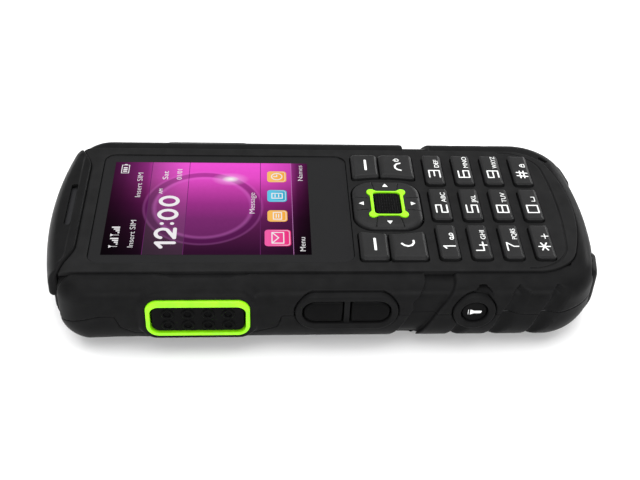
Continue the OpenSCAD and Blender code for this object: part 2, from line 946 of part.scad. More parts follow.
front_shell();
rear_shell();
face_plate();
top_cap();
bottom_bumper();
shell_gasket();
case_screws();
display_window();
lcd_module();
earpiece_mesh();
earpiece_speaker();
keypad_mat();
dome_sheet();
keypad_board();
main_board();
shield_cans();
side_switches();
number_key(-1, 0);  // key_1
number_key(0, 0);  // key_2
number_key(1, 0);  // key_3
number_key(-1, 1);  // key_4
number_key(0, 1);  // key_5
number_key(1, 1);  // key_6
number_key(-1, 2);  // key_7
number_key(0, 2);  // key_8
number_key(1, 2);  // key_9
number_key(-1, 3);  // key_star
number_key(0, 3);  // key_0
number_key(1, 3);  // key_hash
side_key(-1, true);  // left_soft_key
side_key(1, true);  // right_soft_key
side_key(-1, false);  // call_key
side_key(1, false);  // end_key
nav_web();
nav_ring();
nav_trim();
ok_key();
talk_bezel();
talk_key();
volume_surround();
volume_key(1);  // volume_up_key
volume_key(-1);  // volume_down_key
torch_surround();
torch_key();
torch_led();
torch_lens();
battery();
battery_contacts();
battery_cover();
cover_lock(-1);  // cover_lock_left
cover_lock(1);  // cover_lock_right
card_sockets();
camera_module();
camera_window();
loudspeaker();
vibration_motor();
antenna();
port_cover();
usb_port();
headset_jack();
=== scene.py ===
"""Looks of a rugged push-to-talk bar phone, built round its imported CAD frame.

Moulded parts are signed distance fields in millimetres, meshed on a fine grid and then drawn
onto the exact surface.
The frame is the CAD one: +Z leaves the face, +Y points to the earpiece end, +X is the right-hand side.
"""
import json
import math

import bpy
import numpy as np
import openvdb
from mathutils import Matrix, Vector


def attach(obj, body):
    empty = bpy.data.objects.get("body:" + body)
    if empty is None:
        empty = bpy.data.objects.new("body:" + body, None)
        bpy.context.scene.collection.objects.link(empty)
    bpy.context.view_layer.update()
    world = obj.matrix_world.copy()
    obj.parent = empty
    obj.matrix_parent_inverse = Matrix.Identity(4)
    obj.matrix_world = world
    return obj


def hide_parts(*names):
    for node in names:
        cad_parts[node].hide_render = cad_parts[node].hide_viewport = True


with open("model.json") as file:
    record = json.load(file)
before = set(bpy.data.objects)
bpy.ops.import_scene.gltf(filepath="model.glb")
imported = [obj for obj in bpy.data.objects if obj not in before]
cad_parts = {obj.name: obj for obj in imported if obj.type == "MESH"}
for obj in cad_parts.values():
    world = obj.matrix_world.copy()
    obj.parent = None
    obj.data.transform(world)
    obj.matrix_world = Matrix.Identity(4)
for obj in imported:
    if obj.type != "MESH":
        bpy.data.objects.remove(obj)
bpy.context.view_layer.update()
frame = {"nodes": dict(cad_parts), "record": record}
MM = 0.001

# -------- sizes, in millimetres

# Body: half width and length, corner radii at the foot and at the earpiece, bow of the ends
HALF_W, HALF_L, CORNER_R, TOP_CORNER_R, BOW = 30.75, 66.4, 11.0, 7.0, 0.0045
SHOULDER_Z, SHOULDER_R, BACK_R, BACK_R_DROP = 19.9, 4.4, 10.0, 0.8
FACE_Z, KEY_Z, DECK_Z, PARTING_Z = 20.5, 21.5, 18.9, 12.0
PROUD, WALL = 1.1, 2.1
# Face plate, window and lit picture; sizes are halves
PLATE_W, PLATE_TOP, PLATE_BOTTOM = 24.45, 59.3, -62.7
WINDOW_Y, WINDOW_W, WINDOW_L, GLASS_Z = 25.4, 21.5, 31.0, 20.1
LIT_Y, LIT_W, LIT_L = 29.0, 18.36, 24.48
# Number keys and navigation ring
KEY_W, KEY_L, PITCH_X, PITCH_Y, ROW_Y = 6.25, 2.5, 14.7, 7.76, -28.45
NAV_Y, NAV_W, NAV_L, NAV_Z = -15.0, 9.6, 8.6, 21.3
# Push-to-talk key's housing and frame, port cover and its hinge, volume and torch keys
BOSS_Y, BOSS_Z, BOSS_L, BOSS_H = 30.8, 12.2, 12.25, 5.6
BEZEL_L, BEZEL_H = 11.85, 5.35
PORT_Z, PORT_H, HINGE_X, HINGE_Y = 11.7, 5.1, 30.75, 19.3
VOL_Y, VOL_Z = -3.4, 13.2
TORCH_Y, TORCH_Z = -33.5, 13.0
# Seats in the sides, how far their frames stand out, and the flanges behind the keys
SEAT_X, SIDE_PROUD, SIDE_TOP, KEY_FLANGE = 29.4, 31.84, 31.28, (-28.1, -27.3)
USB_Y, JACK_Y, SOCKET_Z = 26, 36.5, 12.2
# Grip grooves, earpiece cap and its slot, foot piece, microphone slot
GRIP_Y, GRIP_PITCH, GRIP_DEPTH, GRIP_LEAN = 33.2, 9.3, 1.35, (0.387, 0.922)
CAP_W, CAP_FOOT_Z, CAP_END_Y, SLOT_Y = 24.3, 12.4, 65.25, 62.35
FOOT_W, FOOT_Y, LUMP = 22.9, 65.35, (13.0, 15.5)
MIC_X, MIC_Y, MIC_LEAN = 21.3, 59.3, (0.669, 0.743)
# Back: cover locks, camera, torch lens, case screws of one side
LOCK_X, LOCK_Y = 15, -50.5
CAMERA_Y, LENS_Z = 47, 7.6
SCREWS = ((24.5, 56), (26.2, -21.5), (24.5, -56))

# -------- signed distance fields


def both(a, b, r=0.0):
    """Where a and b overlap, with the edge between them rounded to r."""
    return np.minimum(np.maximum(a, b), -r) + np.hypot(np.maximum(a + r, 0), np.maximum(b + r, 0))


def either(a, b, r=0.0):
    """a and b together, with the corner between them filled to r."""
    return -both(-a, -b, r)


def less(a, b, r=0.0):
    """a with b cut away, with the cut's edge rounded to r."""
    return both(a, -b, r)


def rect(u, v, half_u, half_v, r):
    """A rectangle with rounded corners."""
    qu, qv = np.abs(u) - half_u + r, np.abs(v) - half_v + r
    return np.minimum(np.maximum(qu, qv), 0) + np.hypot(np.maximum(qu, 0), np.maximum(qv, 0)) - r


def disc(u, v, r):
    return np.hypot(u, v) - r


def between(z, low, high):
    return np.abs(z - (low + high) / 2) - (high - low) / 2


def step(t, low, high):
    """Rises smoothly from 0 at low to 1 at high."""
    t = np.clip((t - low) / (high - low), 0, 1)
    return t * t * (3 - 2 * t)


def fold(t, pitch):
    """Distance from the middle of each of a row of equal steps."""
    return np.abs(np.mod(t, pitch) - pitch / 2)


def slant(z, top, fall, out):
    """A face through height top at out = 0 that falls by fall for each millimetre outwards."""
    return (z - top + fall * out) / math.hypot(1, fall)


def polygon(u, v, points):
    """A closed outline given by its corners."""
    nearest, sign = np.inf, 1.0
    for (au, av), (bu, bv) in zip(points, [points[-1], *points[:-1]]):
        eu, ev, wu, wv = bu - au, bv - av, u - au, v - av
        t = np.clip((wu * eu + wv * ev) / (eu * eu + ev * ev), 0, 1)
        nearest = np.minimum(nearest, (wu - eu * t) ** 2 + (wv - ev * t) ** 2)
        above, below, left = v >= av, v < bv, eu * wv > ev * wu
        sign = np.where((above & below & left) | (~above & ~below & ~left), -sign, sign)
    return sign * np.sqrt(nearest)


def path(u, v, points):
    """Distance to a line through the points."""
    nearest = np.inf
    for (au, av), (bu, bv) in zip(points[:-1], points[1:]):
        eu, ev = bu - au, bv - av
        t = np.clip(((u - au) * eu + (v - av) * ev) / (eu * eu + ev * ev), 0, 1)
        nearest = np.minimum(nearest, np.hypot(u - au - eu * t, v - av - ev * t))
    return nearest


# -------- meshes


def mesh_of(field, low, high, cell, adapt):
    """Points, faces and normals of a field's surface between two corners."""
    cell = np.broadcast_to(np.asarray(cell, float), 3) * 1.0
    low, high = np.asarray(low, float) - 2 * cell, np.asarray(high, float) + 2 * cell
    counts = np.ceil((high - low) / cell).astype(int) + 1
    x, y, z = ((low[k] + cell[k] * np.arange(counts[k])).astype(np.float32) for k in range(3))
    values = np.broadcast_to(field(x[:, None, None], y[None, :, None], z[None, None, :]), counts)
    reach = 3 * float(cell.max())
    grid = openvdb.FloatGrid(background=reach)
    grid.copyFromArray(np.ascontiguousarray(np.clip(values, -reach, reach), dtype=np.float32))
    points, tris, quads = grid.convertToPolygons(isovalue=0.0, adaptivity=adapt)
    p = low + points.astype(float) * cell

    def slope(p, h=0.004):
        return np.stack(
            [(field(*(p + h * e).T) - field(*(p - h * e).T)) / (2 * h) for e in np.eye(3)], axis=1
        )

    # Newton steps take the points onto the exact surface
    for _ in range(4):
        g = slope(p)
        move = (field(*p.T) / np.maximum((g * g).sum(1), 0.2))[:, None] * g
        size = np.linalg.norm(move, axis=1, keepdims=True)
        p -= move * np.minimum(1, 0.6 * cell.min() / np.maximum(size, 1e-9))
    g = slope(p, 0.02)
    normals = g / np.maximum(np.linalg.norm(g, axis=1, keepdims=True), 1e-9)
    return p, tris.tolist() + quads.tolist(), normals


def moulded(name, field, low, high, cell, body, slot, hides=(), adapt=0.01, at=(0, 0, 0)):
    """A piece whose surface is a field's."""
    p, faces, normals = mesh_of(field, low, high, cell, adapt)
    mesh = bpy.data.meshes.new(name)
    mesh.from_pydata(p * MM, [], faces)
    mesh.shade_smooth()
    mesh.normals_split_custom_set_from_vertices(normals)
    mesh.materials.append(material(slot))
    return placed(name, mesh, body, hides, at)


def placed(name, mesh, body, hides=(), at=(0, 0, 0)):
    """A piece that rides a body and, where hides is given, takes the place of CAD nodes."""
    obj = bpy.data.objects.new(name, mesh)
    obj.location = Vector(at) * MM
    bpy.context.scene.collection.objects.link(obj)
    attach(obj, body)
    if hides:
        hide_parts(*hides)
    return obj


# -------- materials


def graph(name):
    made = bpy.data.materials.new(name)
    made.use_nodes = True
    nodes, links = made.node_tree.nodes, made.node_tree.links
    return made, nodes, links, nodes["Principled BSDF"]


def given(node, inputs):
    for name, value in inputs.items():
        node.inputs[name].default_value = value


def noise(nodes, links, scale, detail=4.0, stretch=(1, 1, 1)):
    where = nodes.new("ShaderNodeTexCoord")
    turn = nodes.new("ShaderNodeMapping")
    given(turn, {"Scale": stretch})
    links.new(where.outputs["Object"], turn.inputs["Vector"])
    made = nodes.new("ShaderNodeTexNoise")
    given(made, {"Scale": scale, "Detail": detail, "Roughness": 0.55})
    links.new(turn.outputs["Vector"], made.inputs["Vector"])
    return made.outputs["Fac"]


def spread(nodes, links, value, low, high, start=0.3, end=0.7):
    made = nodes.new("ShaderNodeMapRange")
    given(made, {"From Min": start, "From Max": end, "To Min": low, "To Max": high})
    links.new(value, made.inputs["Value"])
    return made.outputs["Result"]


def ramp(nodes, links, value, stops):
    made = nodes.new("ShaderNodeValToRGB")
    items = made.color_ramp.elements
    while len(items) < len(stops):
        items.new(0.5)
    for item, (place, colour) in zip(items, stops):
        item.position, item.color = place, (*colour, 1)
    links.new(value, made.inputs["Fac"])
    return made.outputs["Color"]


def bump(nodes, links, shader, height, depth_mm):
    made = nodes.new("ShaderNodeBump")
    given(made, {"Distance": depth_mm * MM})
    links.new(height, made.inputs["Height"])
    links.new(made.outputs["Normal"], shader.inputs["Normal"])


def moulded_plastic(name, colour, rough, grain_mm, grain_depth, specular=0.3, edge_highlight=0.5):
    """Moulded plastic or rubber: fine grain, faint mottling, a painted highlight that lightens sharp edges,
    and roughness that varies.
    """
    made, nodes, links, shader = graph(name)
    dark = tuple(c * 0.86 for c in colour)
    light = tuple(min(1, c * 1.16) for c in colour)
    mottle = ramp(nodes, links, noise(nodes, links, 260), [(0.3, dark), (0.7, light)])
    # Painted highlight: the colour is mixed towards a much lighter one on sharp convex edges
    edge = nodes.new("ShaderNodeNewGeometry").outputs["Pointiness"]
    painted_edge_highlight = spread(nodes, links, edge, 0.0, edge_highlight, 0.51, 0.6)
    mixed = nodes.new("ShaderNodeMix")
    mixed.data_type = "RGBA"
    links.new(painted_edge_highlight, mixed.inputs["Factor"])
    links.new(mottle, mixed.inputs["A"])
    mixed.inputs["B"].default_value = (*(min(1, c * 2.4) for c in colour), 1)
    links.new(mixed.outputs["Result"], shader.inputs["Base Color"])
    patches = noise(nodes, links, 90, 6.0)
    links.new(spread(nodes, links, patches, rough - 0.07, rough + 0.09), shader.inputs["Roughness"])
    given(shader, {"Specular IOR Level": specular})
    bump(nodes, links, shader, noise(nodes, links, 1000 / grain_mm, 2.0), grain_depth)
    return made


def metal(name, colour, rough, stretch=(1, 1, 1)):
    made, nodes, links, shader = graph(name)
    streaks = noise(nodes, links, 2500, 3.0, stretch=stretch)
    tint = ramp(nodes, links, streaks, [(0.3, tuple(c * 0.85 for c in colour)), (0.7, colour)])
    links.new(tint, shader.inputs["Base Color"])
    links.new(spread(nodes, links, streaks, rough - 0.06, rough + 0.1), shader.inputs["Roughness"])
    given(shader, {"Metallic": 1.0})
    bump(nodes, links, shader, streaks, 0.01)
    return made


def glossy(name, colour, rough, clear=0.0, specular=0.5):
    """Glass or gloss plastic with faint smears in its polish."""
    made, nodes, links, shader = graph(name)
    smear = noise(nodes, links, 60, 5.0)
    tint = ramp(nodes, links, smear, [(0.3, tuple(c * 0.93 for c in colour)), (0.7, colour)])
    links.new(tint, shader.inputs["Base Color"])
    links.new(spread(nodes, links, smear, rough * 0.7, rough * 1.5), shader.inputs["Roughness"])
    given(shader, {"Specular IOR Level": specular, "Transmission Weight": clear})
    bump(nodes, links, shader, noise(nodes, links, 400, 2.0), 0.002)
    return made


def circuit(name):
    """Solder mask with tracks showing through."""
    made, nodes, links, shader = graph(name)
    where = nodes.new("ShaderNodeTexCoord")
    tracks = nodes.new("ShaderNodeTexBrick")
    given(tracks, {"Scale": 500, "Mortar": (0.03, 0.2, 0.08, 1)})
    given(tracks, {"Color1": (0.012, 0.10, 0.045, 1), "Color2": (0.016, 0.13, 0.055, 1)})
    links.new(where.outputs["Object"], tracks.inputs["Vector"])
    links.new(tracks.outputs["Color"], shader.inputs["Base Color"])
    links.new(spread(nodes, links, noise(nodes, links, 150), 0.25, 0.4), shader.inputs["Roughness"])
    bump(nodes, links, shader, tracks.outputs["Fac"], 0.02)
    return made


def lit_up(links, shader, colour, strength, base):
    given(shader, {"Base Color": (base, base, base, 1), "Roughness": 0.12})
    given(shader, {"Specular IOR Level": 0.0, "Emission Strength": strength})
    links.new(colour, shader.inputs["Emission Color"])


def glowing(name, colour, strength, second=None):
    """A lit patch of the display, shaded from one colour to another across it."""
    made, nodes, links, shader = graph(name)
    where = nodes.new("ShaderNodeTexCoord")
    split = nodes.new("ShaderNodeSeparateXYZ")
    links.new(where.outputs["Generated"], split.inputs["Vector"])
    tint = ramp(nodes, links, split.outputs["Y"], [(0.1, colour), (0.9, second or colour)])
    lit_up(links, shader, tint, strength, 0.002)
    return made


SLOTS = {
    "shell_black": (moulded_plastic, (0.0074, 0.0074, 0.0076), 0.36, 0.28, 0.012, 0.022, 0.2),
    "plate_black": (moulded_plastic, (0.0124, 0.0124, 0.0126), 0.5, 0.3, 0.006, 0.015, 0.15),
    "rubber_black": (moulded_plastic, (0.0075, 0.0075, 0.0077), 0.5, 0.4, 0.012, 0.04, 0.2),
    "key_black": (moulded_plastic, (0.0110, 0.0110, 0.0113), 0.36, 0.35, 0.008, 0.11, 0.2),
    "side_key_black": (moulded_plastic, (0.0024, 0.0024, 0.0025), 0.34, 0.3, 0.008, 0.03, 0.2),
    "lime_green": (moulded_plastic, (0.26, 0.79, 0.006), 0.33, 0.5, 0.003, 0.25, 0.1),
    "silicone_grey": (moulded_plastic, (0.014, 0.014, 0.015), 0.6, 0.4, 0.01),
    "module_black": (moulded_plastic, (0.012, 0.012, 0.013), 0.5, 0.3, 0.01),
    "battery_wrap": (moulded_plastic, (0.035, 0.045, 0.06), 0.38, 0.6, 0.006, 0.4, 0.2),
    "window": (glossy, (0.0105, 0.0105, 0.011), 0.4, 0.0, 0.05),
    "lens_clear": (glossy, (0.9, 0.93, 0.95), 0.05, 0.95),
    "dome_film": (glossy, (0.6, 0.6, 0.62), 0.2),
    "display": (glossy, (0.02, 0.02, 0.025), 0.2),
    "led_yellow": (glossy, (0.8, 0.72, 0.3), 0.25),
    "board_green": (circuit,),
    "mesh_grey": (metal, (0.028, 0.028, 0.03), 0.45),
    "tin": (metal, (0.62, 0.62, 0.63), 0.32),
    "steel": (metal, (0.5, 0.5, 0.51), 0.3, (1, 12, 1)),
    "gold": (metal, (0.83, 0.62, 0.28), 0.25),
    "oxide_black": (metal, (0.03, 0.03, 0.032), 0.4),
    "key_print": (moulded_plastic, (0.74, 0.75, 0.74), 0.45, 0.5, 0.002, 0.4, 0.0),
}
LOOKS = {}


def material(slot):
    """The slot's look, made once."""
    if slot not in LOOKS:
        make, *settings = SLOTS[slot]
        LOOKS[slot] = make(slot + "_look", *settings)
    return LOOKS[slot]


for part in frame["record"]["subparts"]:
    cad = frame["nodes"][part["node"]]
    slot = "oxide_black" if part["node"] == "case_screws" else part["material_slot"]
    cad.data.materials.clear()
    cad.data.materials.append(material(slot))

# -------- the body


def plan(x, y, grow=0.0):
    """The phone seen from above: bowed ends and round corners."""
    ends = (np.abs(y) - HALF_L - grow + BOW * x * x) / np.sqrt(1 + (2 * BOW * x) ** 2)
    corner = np.where(y > 0, TOP_CORNER_R, CORNER_R)
    return both(np.abs(x) - HALF_W - grow, ends, corner + grow)


def form(x, y, z, grow=0.0, top=SHOULDER_Z):
    d = both(plan(x, y, grow), z - top - grow, SHOULDER_R + grow)
    return both(d, -z - grow, BACK_R - BACK_R_DROP * step(y, 48, 62) + grow)


WAIST = [
    (-22.4, 20.9), (-20.4, 17.8), (-18.9, 16), (-19.0, 13.7), (-16.3, 7.5), (-12.5, -1),
    (-18.8, -1), (-22.2, 7.1), (-25.6, 14.3), (-29.7, 20.9),
]
VALLEY = [(23.6, 57.0), (24.3, 59.3), (25.1, 60.5), (26.0, 61.8), (26.1, 67), (23.0, 67)]
TONGUE = [(49.3, 12.9), (47.9, 9.2), (44.9, 7.2), (18.2, 7.2), (13.3, 9.2), (12.2, 12.9)]


def grip(d, base, y, z, i):
    """Cuts one leaning grip groove: a steep wall towards the earpiece, a soft one behind."""
    lean, rise = GRIP_LEAN
    off = y + GRIP_Y + GRIP_PITCH * i
    along, across = -lean * off + rise * (z - PARTING_Z), rise * off + lean * (z - PARTING_Z)
    half = 2.35 - 0.115 * np.clip(PARTING_Z - z, 0, 7)
    outline = np.hypot(across, np.maximum(along - 5.4, 0)) - half
    depth = GRIP_DEPTH * step(across, -half, 0.45 * half) * step(7.9 - along, 0, 0.8 if i == 0 else 2.4)
    return less(d, both(outline, -(base + depth), 0.15), 0.2)


def skin(x, y, z):
    """The outside of both shells together, with what is pressed into or stands on it."""
    d = base = form(x, y, z)
    side = np.abs(x)
    # Dish above the push-to-talk key
    slope = (-x - 26.6) * 0.42 + (z - SHOULDER_Z) * 0.9075
    d = less(d, both(-slope, np.abs(y - 29.3) - 13.2, 5.0), 1.8)
    # Housing that carries the push-to-talk key on one side, the port cover on the other
    middle = np.where(x < 0, BOSS_Z, PORT_Z)
    tall = np.where(x < 0, BOSS_H, PORT_H)
    housing = both(rect(y - BOSS_Y, z - middle, BOSS_L + 0.95, tall + 1.1, 4.0), side - 31.35, 0.7)
    d = either(d, both(housing, 26 - side, 0.2), 0.9)
    # Waist band
    band = both(polygon(y, z, WAIST), 24.6 - side)
    d = less(d, both(band, -(base + 1.05), 0.35), 0.3)
    for i in range(3):
        d = grip(d, base, y, z, i)
    # Valley between the cap's wings and the rounded start of each long side
    valley = polygon(side, y, VALLEY)
    return less(d, both(valley, -(base + 0.75), 0.5), 0.8)


def halves(x, y, z):
    """Below zero in the front shell's share: above the parting line, and in the tongue on each side."""
    tongue = both(polygon(y, z, TONGUE) - 0.8, 26 - np.abs(x))
    return np.minimum(PARTING_Z - 4.8 * step(y, 52, 67) - z, tongue)


def plate_outline(x, y):
    foot = (PLATE_BOTTOM - y + 0.0098 * x * x) / np.sqrt(1 + (0.0196 * x) ** 2)
    d = both(np.abs(x) - PLATE_W, foot, 6.5)
    return both(d, y - cap_edge(x), 0.3)


def cap_edge(x):
    """Where the earpiece cap's lower edge runs."""
    return PLATE_TOP + 3.1 * step(np.abs(x), 15.5, 25.5)


def foot_seat(x, y, z):
    """The recess of the foot piece, taller behind its lumps."""
    lump = step(np.abs(x), *LUMP)
    return both(both(np.abs(x) - FOOT_W, y + FOOT_Y - BOW * x * x), between(z, 3.1, 17.2 + 0.9 * lump))


def mic_slot(x, y):
    across, along = MIC_LEAN
    u = (x - MIC_X) * along + (y + MIC_Y) * across
    v = -(x - MIC_X) * across + (y + MIC_Y) * along
    return rect(u, v, 1.4, 0.45, 0.4)


def side_seats(x, y, z, d):
    """Seats and holes of the side keys and their surrounds."""
    left = x + SEAT_X
    d = less(d, both(rect(y - VOL_Y, z - VOL_Z, 12.2, 5.4, 5.35), left), 0.45)
    d = less(d, both(rect(y - VOL_Y, z - VOL_Z, 10.5, 3.5, 3.2), x + 26), 0.1)
    d = less(d, both(disc(y - TORCH_Y, z - TORCH_Z, 5.25), left), 0.45)
    return less(d, both(disc(y - TORCH_Y, z - TORCH_Z, 3.3), x + 26), 0.1)


def front_case(x, y, z):
    d = both(skin(x, y, z), halves(x, y, z), 0.3)
    inside = both(form(x, y, z, -WALL), z - 17.3, 0.5)
    d = less(d, inside, 0.2)
    # Seat of the face plate, with a soft crease round it, and the deck's openings
    d = less(d, both(plate_outline(x, y) - 0.06, DECK_Z - z), 0.4)
    d = less(d, rect(x, y - LIT_Y, 19.3, 25.3, 1), 0.1)
    d = less(d, rect(x, y + 31.5, 22.2, 26.2, 1), 0.1)
    # Seat of the earpiece cap, over the top and down the end, and the opening under its slot
    reach = np.abs(x) - CAP_W - 0.05
    over = both(both(cap_edge(x) - 0.05 - y, DECK_Z - z), reach)
    down = both(both(CAP_END_Y - 0.1 - BOW * x * x - y, CAP_FOOT_Z - 0.1 - z), reach)
    d = less(less(d, over, 0.2), down, 0.2)
    d = less(d, both(rect(x, y - SLOT_Y + 0.45, 6, 1.4, 0.3), 16.5 - z), 0.1)
    d = less(d, foot_seat(x, y, z), 0.25)
    d = side_seats(x, y, z, d)
    # Left: push-to-talk key; right: pocket and sockets behind the port cover
    d = less(d, both(rect(y - BOSS_Y, z - BOSS_Z, BEZEL_L + 0.06, BEZEL_H + 0.06, 3.05), x + SEAT_X), 0.25)
    d = less(d, both(rect(y - BOSS_Y, z - BOSS_Z, 11.0, 4.35, 2), x + 26), 0.1)
    pocket = both(rect(y - BOSS_Y, z - PORT_Z, BOSS_L + 0.15, PORT_H + 0.15, 3.1), SEAT_X - x)
    d = less(d, pocket, 0.3)
    d = less(d, both(rect(y - USB_Y, z - SOCKET_Z, 4.75, 2.3, 1), 26 - x), 0.3)
    d = less(d, both(disc(y - JACK_Y, z - SOCKET_Z, 3.2), 26 - x), 0.3)
    return less(d, both(mic_slot(x, y), 18.3 - z), 0.1)


def rear_case(x, y, z):
    outer = skin(x, y, z)
    d = both(outer, -halves(x, y, z), 0.3)
    d = less(d, both(form(x, y, z, -WALL), 2.2 - z, 0.6), 0.2)
    # Walls and ceiling of the battery bay, and the screw posts
    core = form(x, y, z, -1.0)
    block = both(rect(x, y + 10.5, 23.8, 46, 0.5), between(z, 1, 9.4), 0.2)
    posts = np.inf
    for px, py in SCREWS:
        posts = np.minimum(posts, disc(np.abs(x) - px, y - py, 2.2))
    inner = np.minimum(block, both(posts, z - PARTING_Z, 0.2))
    d = np.minimum(d, both(inner, core, 0.1))
    bay = both(rect(x, y + 6.5, 22.2, 39.5, 1.2), z - 8.5, 0.6)
    d = less(d, bay, 0.25)
    d = less(d, both(rect(x, y + 10.5, 23.4, 44.7, 1.2), z - 2.0), 0.2)
    d = less(d, both(disc(np.abs(x) - LOCK_X, y - LOCK_Y, 2.1), z - 7.6), 0.15)
    d = less(d, both(rect(x, y - 8.5, 9, 2.5, 0.3), between(z, 7, 11)), 0.1)
    for px, py in SCREWS:
        hole = disc(np.abs(x) - px, y - py, 1.7)
        d = less(d, both(hole, z - 4.6), 0.25)
        d = less(d, disc(np.abs(x) - px, y - py, 0.9), 0.05)
    # Camera window, sound slots, torch lens
    d = less(d, both(disc(x, y - CAMERA_Y, 4), z - 1.1), 0.2)
    d = less(d, disc(x, y - CAMERA_Y, 3) + 0 * z, 0.1)
    slots = both(rect(x + 15, fold(y - CAMERA_Y + 1, 2), 4.5, 0.5, 0.45), np.abs(y - CAMERA_Y) - 4.8)
    d = less(d, both(slots, z - 4), 0.12)
    d = less(d, both(disc(x, z - LENS_Z, 2.8), 61 - y), 0.3)
    d = less(d, foot_seat(x, y, z), 0.25)
    return side_seats(x, y, z, d)


moulded("front_case", front_case, (-31.9, -66.5, 6), (31.9, 66.5, 20), 0.32, "chassis", "shell_black",
        ["front_shell"])
moulded("rear_case", rear_case, (-31.9, -66.5, 0), (31.9, 66.5, 12.1), 0.36, "chassis", "shell_black",
        ["rear_shell"])


# -------- face plate, cap and foot


def wing_outline(x, y, side, upper, grow=0.0):
    """A key beside the navigation ring, its inner edge curved round it."""
    low, high = (-13.95, -6.9) if upper else (-23.2, -14.15)
    d = rect(side * x - 15.85, y - (low + high) / 2, 5.35 + grow, (high - low) / 2 + grow, 1.1)
    return both(d, 32.6 - grow - np.hypot(side * x + 21.1, y - NAV_Y), 0.5)


def face_plate(x, y, z):
    d = both(both(plate_outline(x, y), form(x, y, z, 0.6), 0.3), between(z, DECK_Z, FACE_Z), 0.3)
    d = less(d, rect(x, y - WINDOW_Y, WINDOW_W + 0.03, WINDOW_L + 0.03, 3.0) + 0 * z, 0.12)
    column, row = fold(x + PITCH_X / 2, PITCH_X), fold(y - ROW_Y + PITCH_Y / 2, PITCH_Y)
    keys = rect(column, row, KEY_W + 0.2, KEY_L + 0.2, 1.2)
    keys = both(keys, both(np.abs(x) - 22, np.abs(y + 40.1) - 15.5))
    d = less(d, keys + 0 * z, 0.18)
    for side in (-1, 1):
        for upper in (True, False):
            d = less(d, wing_outline(x, y, side, upper, 0.2) + 0 * z, 0.18)
    d = less(d, rect(x, y - NAV_Y, NAV_W + 0.3, NAV_L + 0.3, 5.3) + 0 * z, 0.18)
    # Fine groove that follows the plate's foot
    foot = (-58.75 - y + 0.0044 * x * x) / np.sqrt(1 + (0.0088 * x) ** 2)
    line = np.abs(both(np.abs(x) - 23.6, foot, 8)) - 0.22
    d = less(d, both(both(line, y + 47, 0.2), FACE_Z - 0.3 - z), 0.12)
    return less(d, mic_slot(x, y) + 0 * z, 0.1)


def top_cap(x, y, z):
    shape = form(x, y, z, PROUD - 0.02, 20.2)
    d = both(shape, cap_edge(x) + 0.05 - y, 0.8)
    d = both(d, np.abs(x) - CAP_W, 1.0)
    dish = rect(x, y - 64.2, 21.5, 2.6, 2.4)
    d = less(d, both(dish, 20.85 - z, 0.3), 0.7)
    below = both(z - DECK_Z, y - CAP_END_Y + BOW * x * x)
    d = less(d, below, 0.1)
    d = both(d, CAP_FOOT_Z - z, 1.0)
    d = less(d, rect(x, y - SLOT_Y, 8, 0.75, 0.7) + 0 * z, 0.15)
    return less(d, both(rect(x, y - SLOT_Y, 9, 1.6, 0.3), z - SHOULDER_Z), 0.1)


def bottom_bumper(x, y, z):
    """A band across the foot, nearly flush between two lumps at its ends."""
    lump = step(np.abs(x), *LUMP)
    d = both(form(x, y, z) - 0.05 - 0.6 * lump, np.abs(x) - FOOT_W + 0.1, 1.6)
    d = both(d, between(z, 3.25, 17.15 + 0.9 * lump), 1.5)
    return both(d, y + 65.42 - BOW * x * x, 0.2)


def window_glass(x, y, z):
    return both(rect(x, y - WINDOW_Y, WINDOW_W, WINDOW_L, 3), between(z, DECK_Z, GLASS_Z), 0.05)


moulded("face_panel", face_plate, (-24.6, -62.8, 18.9), (24.6, 62.5, 20.5), (0.23, 0.23, 0.2), "chassis",
        "plate_black", ["face_plate"])
moulded("earpiece_cap", top_cap, (-24.9, 59, 12.3), (24.9, 67.6, 21.4), 0.24, "chassis", "shell_black",
        ["top_cap"])
moulded("foot_bumper", bottom_bumper, (-23, -67.2, 3.2), (23, -60, 18.2), 0.25, "chassis",
        "shell_black", ["bottom_bumper"])
moulded("window_glass", window_glass, (-21.6, -5.7, 18.9), (21.6, 56.5, 20.1), (0.4, 0.4, 0.15),
        "chassis", "window", ["display_window"])

# -------- keys


def number_key(x, y, z):
    d = both(rect(x, y, KEY_W, KEY_L, 1.0), between(z, 17.2, KEY_Z), 0.25)
    # Sloping faces round the top, widest on the side towards the foot
    d = both(d, slant(z, KEY_Z, 0.85, -y - 1.72), 0.08)
    d = both(d, slant(z, KEY_Z, 0.9, y - 2.1), 0.1)
    d = both(d, slant(z, KEY_Z, 0.9, np.abs(x) - 5.8), 0.1)
    rim = both(rect(x, y, KEY_W + 0.6, KEY_L + 0.6, 0.8), between(z, 16.5, 17.2), 0.1)
    return np.minimum(d, rim)


def wing_key(side, upper):
    def field(x, y, z):
        outline = wing_outline(x, y, side, upper, -0.05)
        d = both(outline, between(z, 16.5, KEY_Z), 0.3)
        return both(d, slant(z, KEY_Z, 0.85, outline + 0.7), 0.12)
    return field


def nav_ring(x, y, z):
    y = y - NAV_Y
    outline = rect(x, y, NAV_W, NAV_L, 5.2)
    d = both(outline, between(z, 16.8, NAV_Z), 0.3)
    d = both(d, slant(z, NAV_Z, 0.62, outline + 0.85), 0.3)
    d = np.minimum(d, both(rect(x, y, NAV_W, NAV_L + 0.7, 4), between(z, 16.1, 16.8), 0.1))
    d = less(d, rect(x, y, 4.55, 3.55, 1.3) + 0 * z, 0.1)
    d = less(d, both(trim_outline(x, y) - 0.06, NAV_Z - 0.4 - z), 0.12)
    # Fine lines that part the four pressing points
    lines = np.minimum(
        path(np.abs(x), np.abs(y), [(2.3, 5.0), (2.8, 8.9)]),
        path(np.abs(x), np.abs(y), [(5.4, 2.9), (9.9, 3.6)]),
    )
    return less(d, both(lines - 0.1, NAV_Z - 0.3 - z, 0.02), 0.06)


def trim_outline(x, y):
    corner = disc(np.abs(x) - 4.5, np.abs(y) - 3.85, 1.1)
    return either(rect(x, y, 4.85, 4.2, 1.0), corner, 0.5)


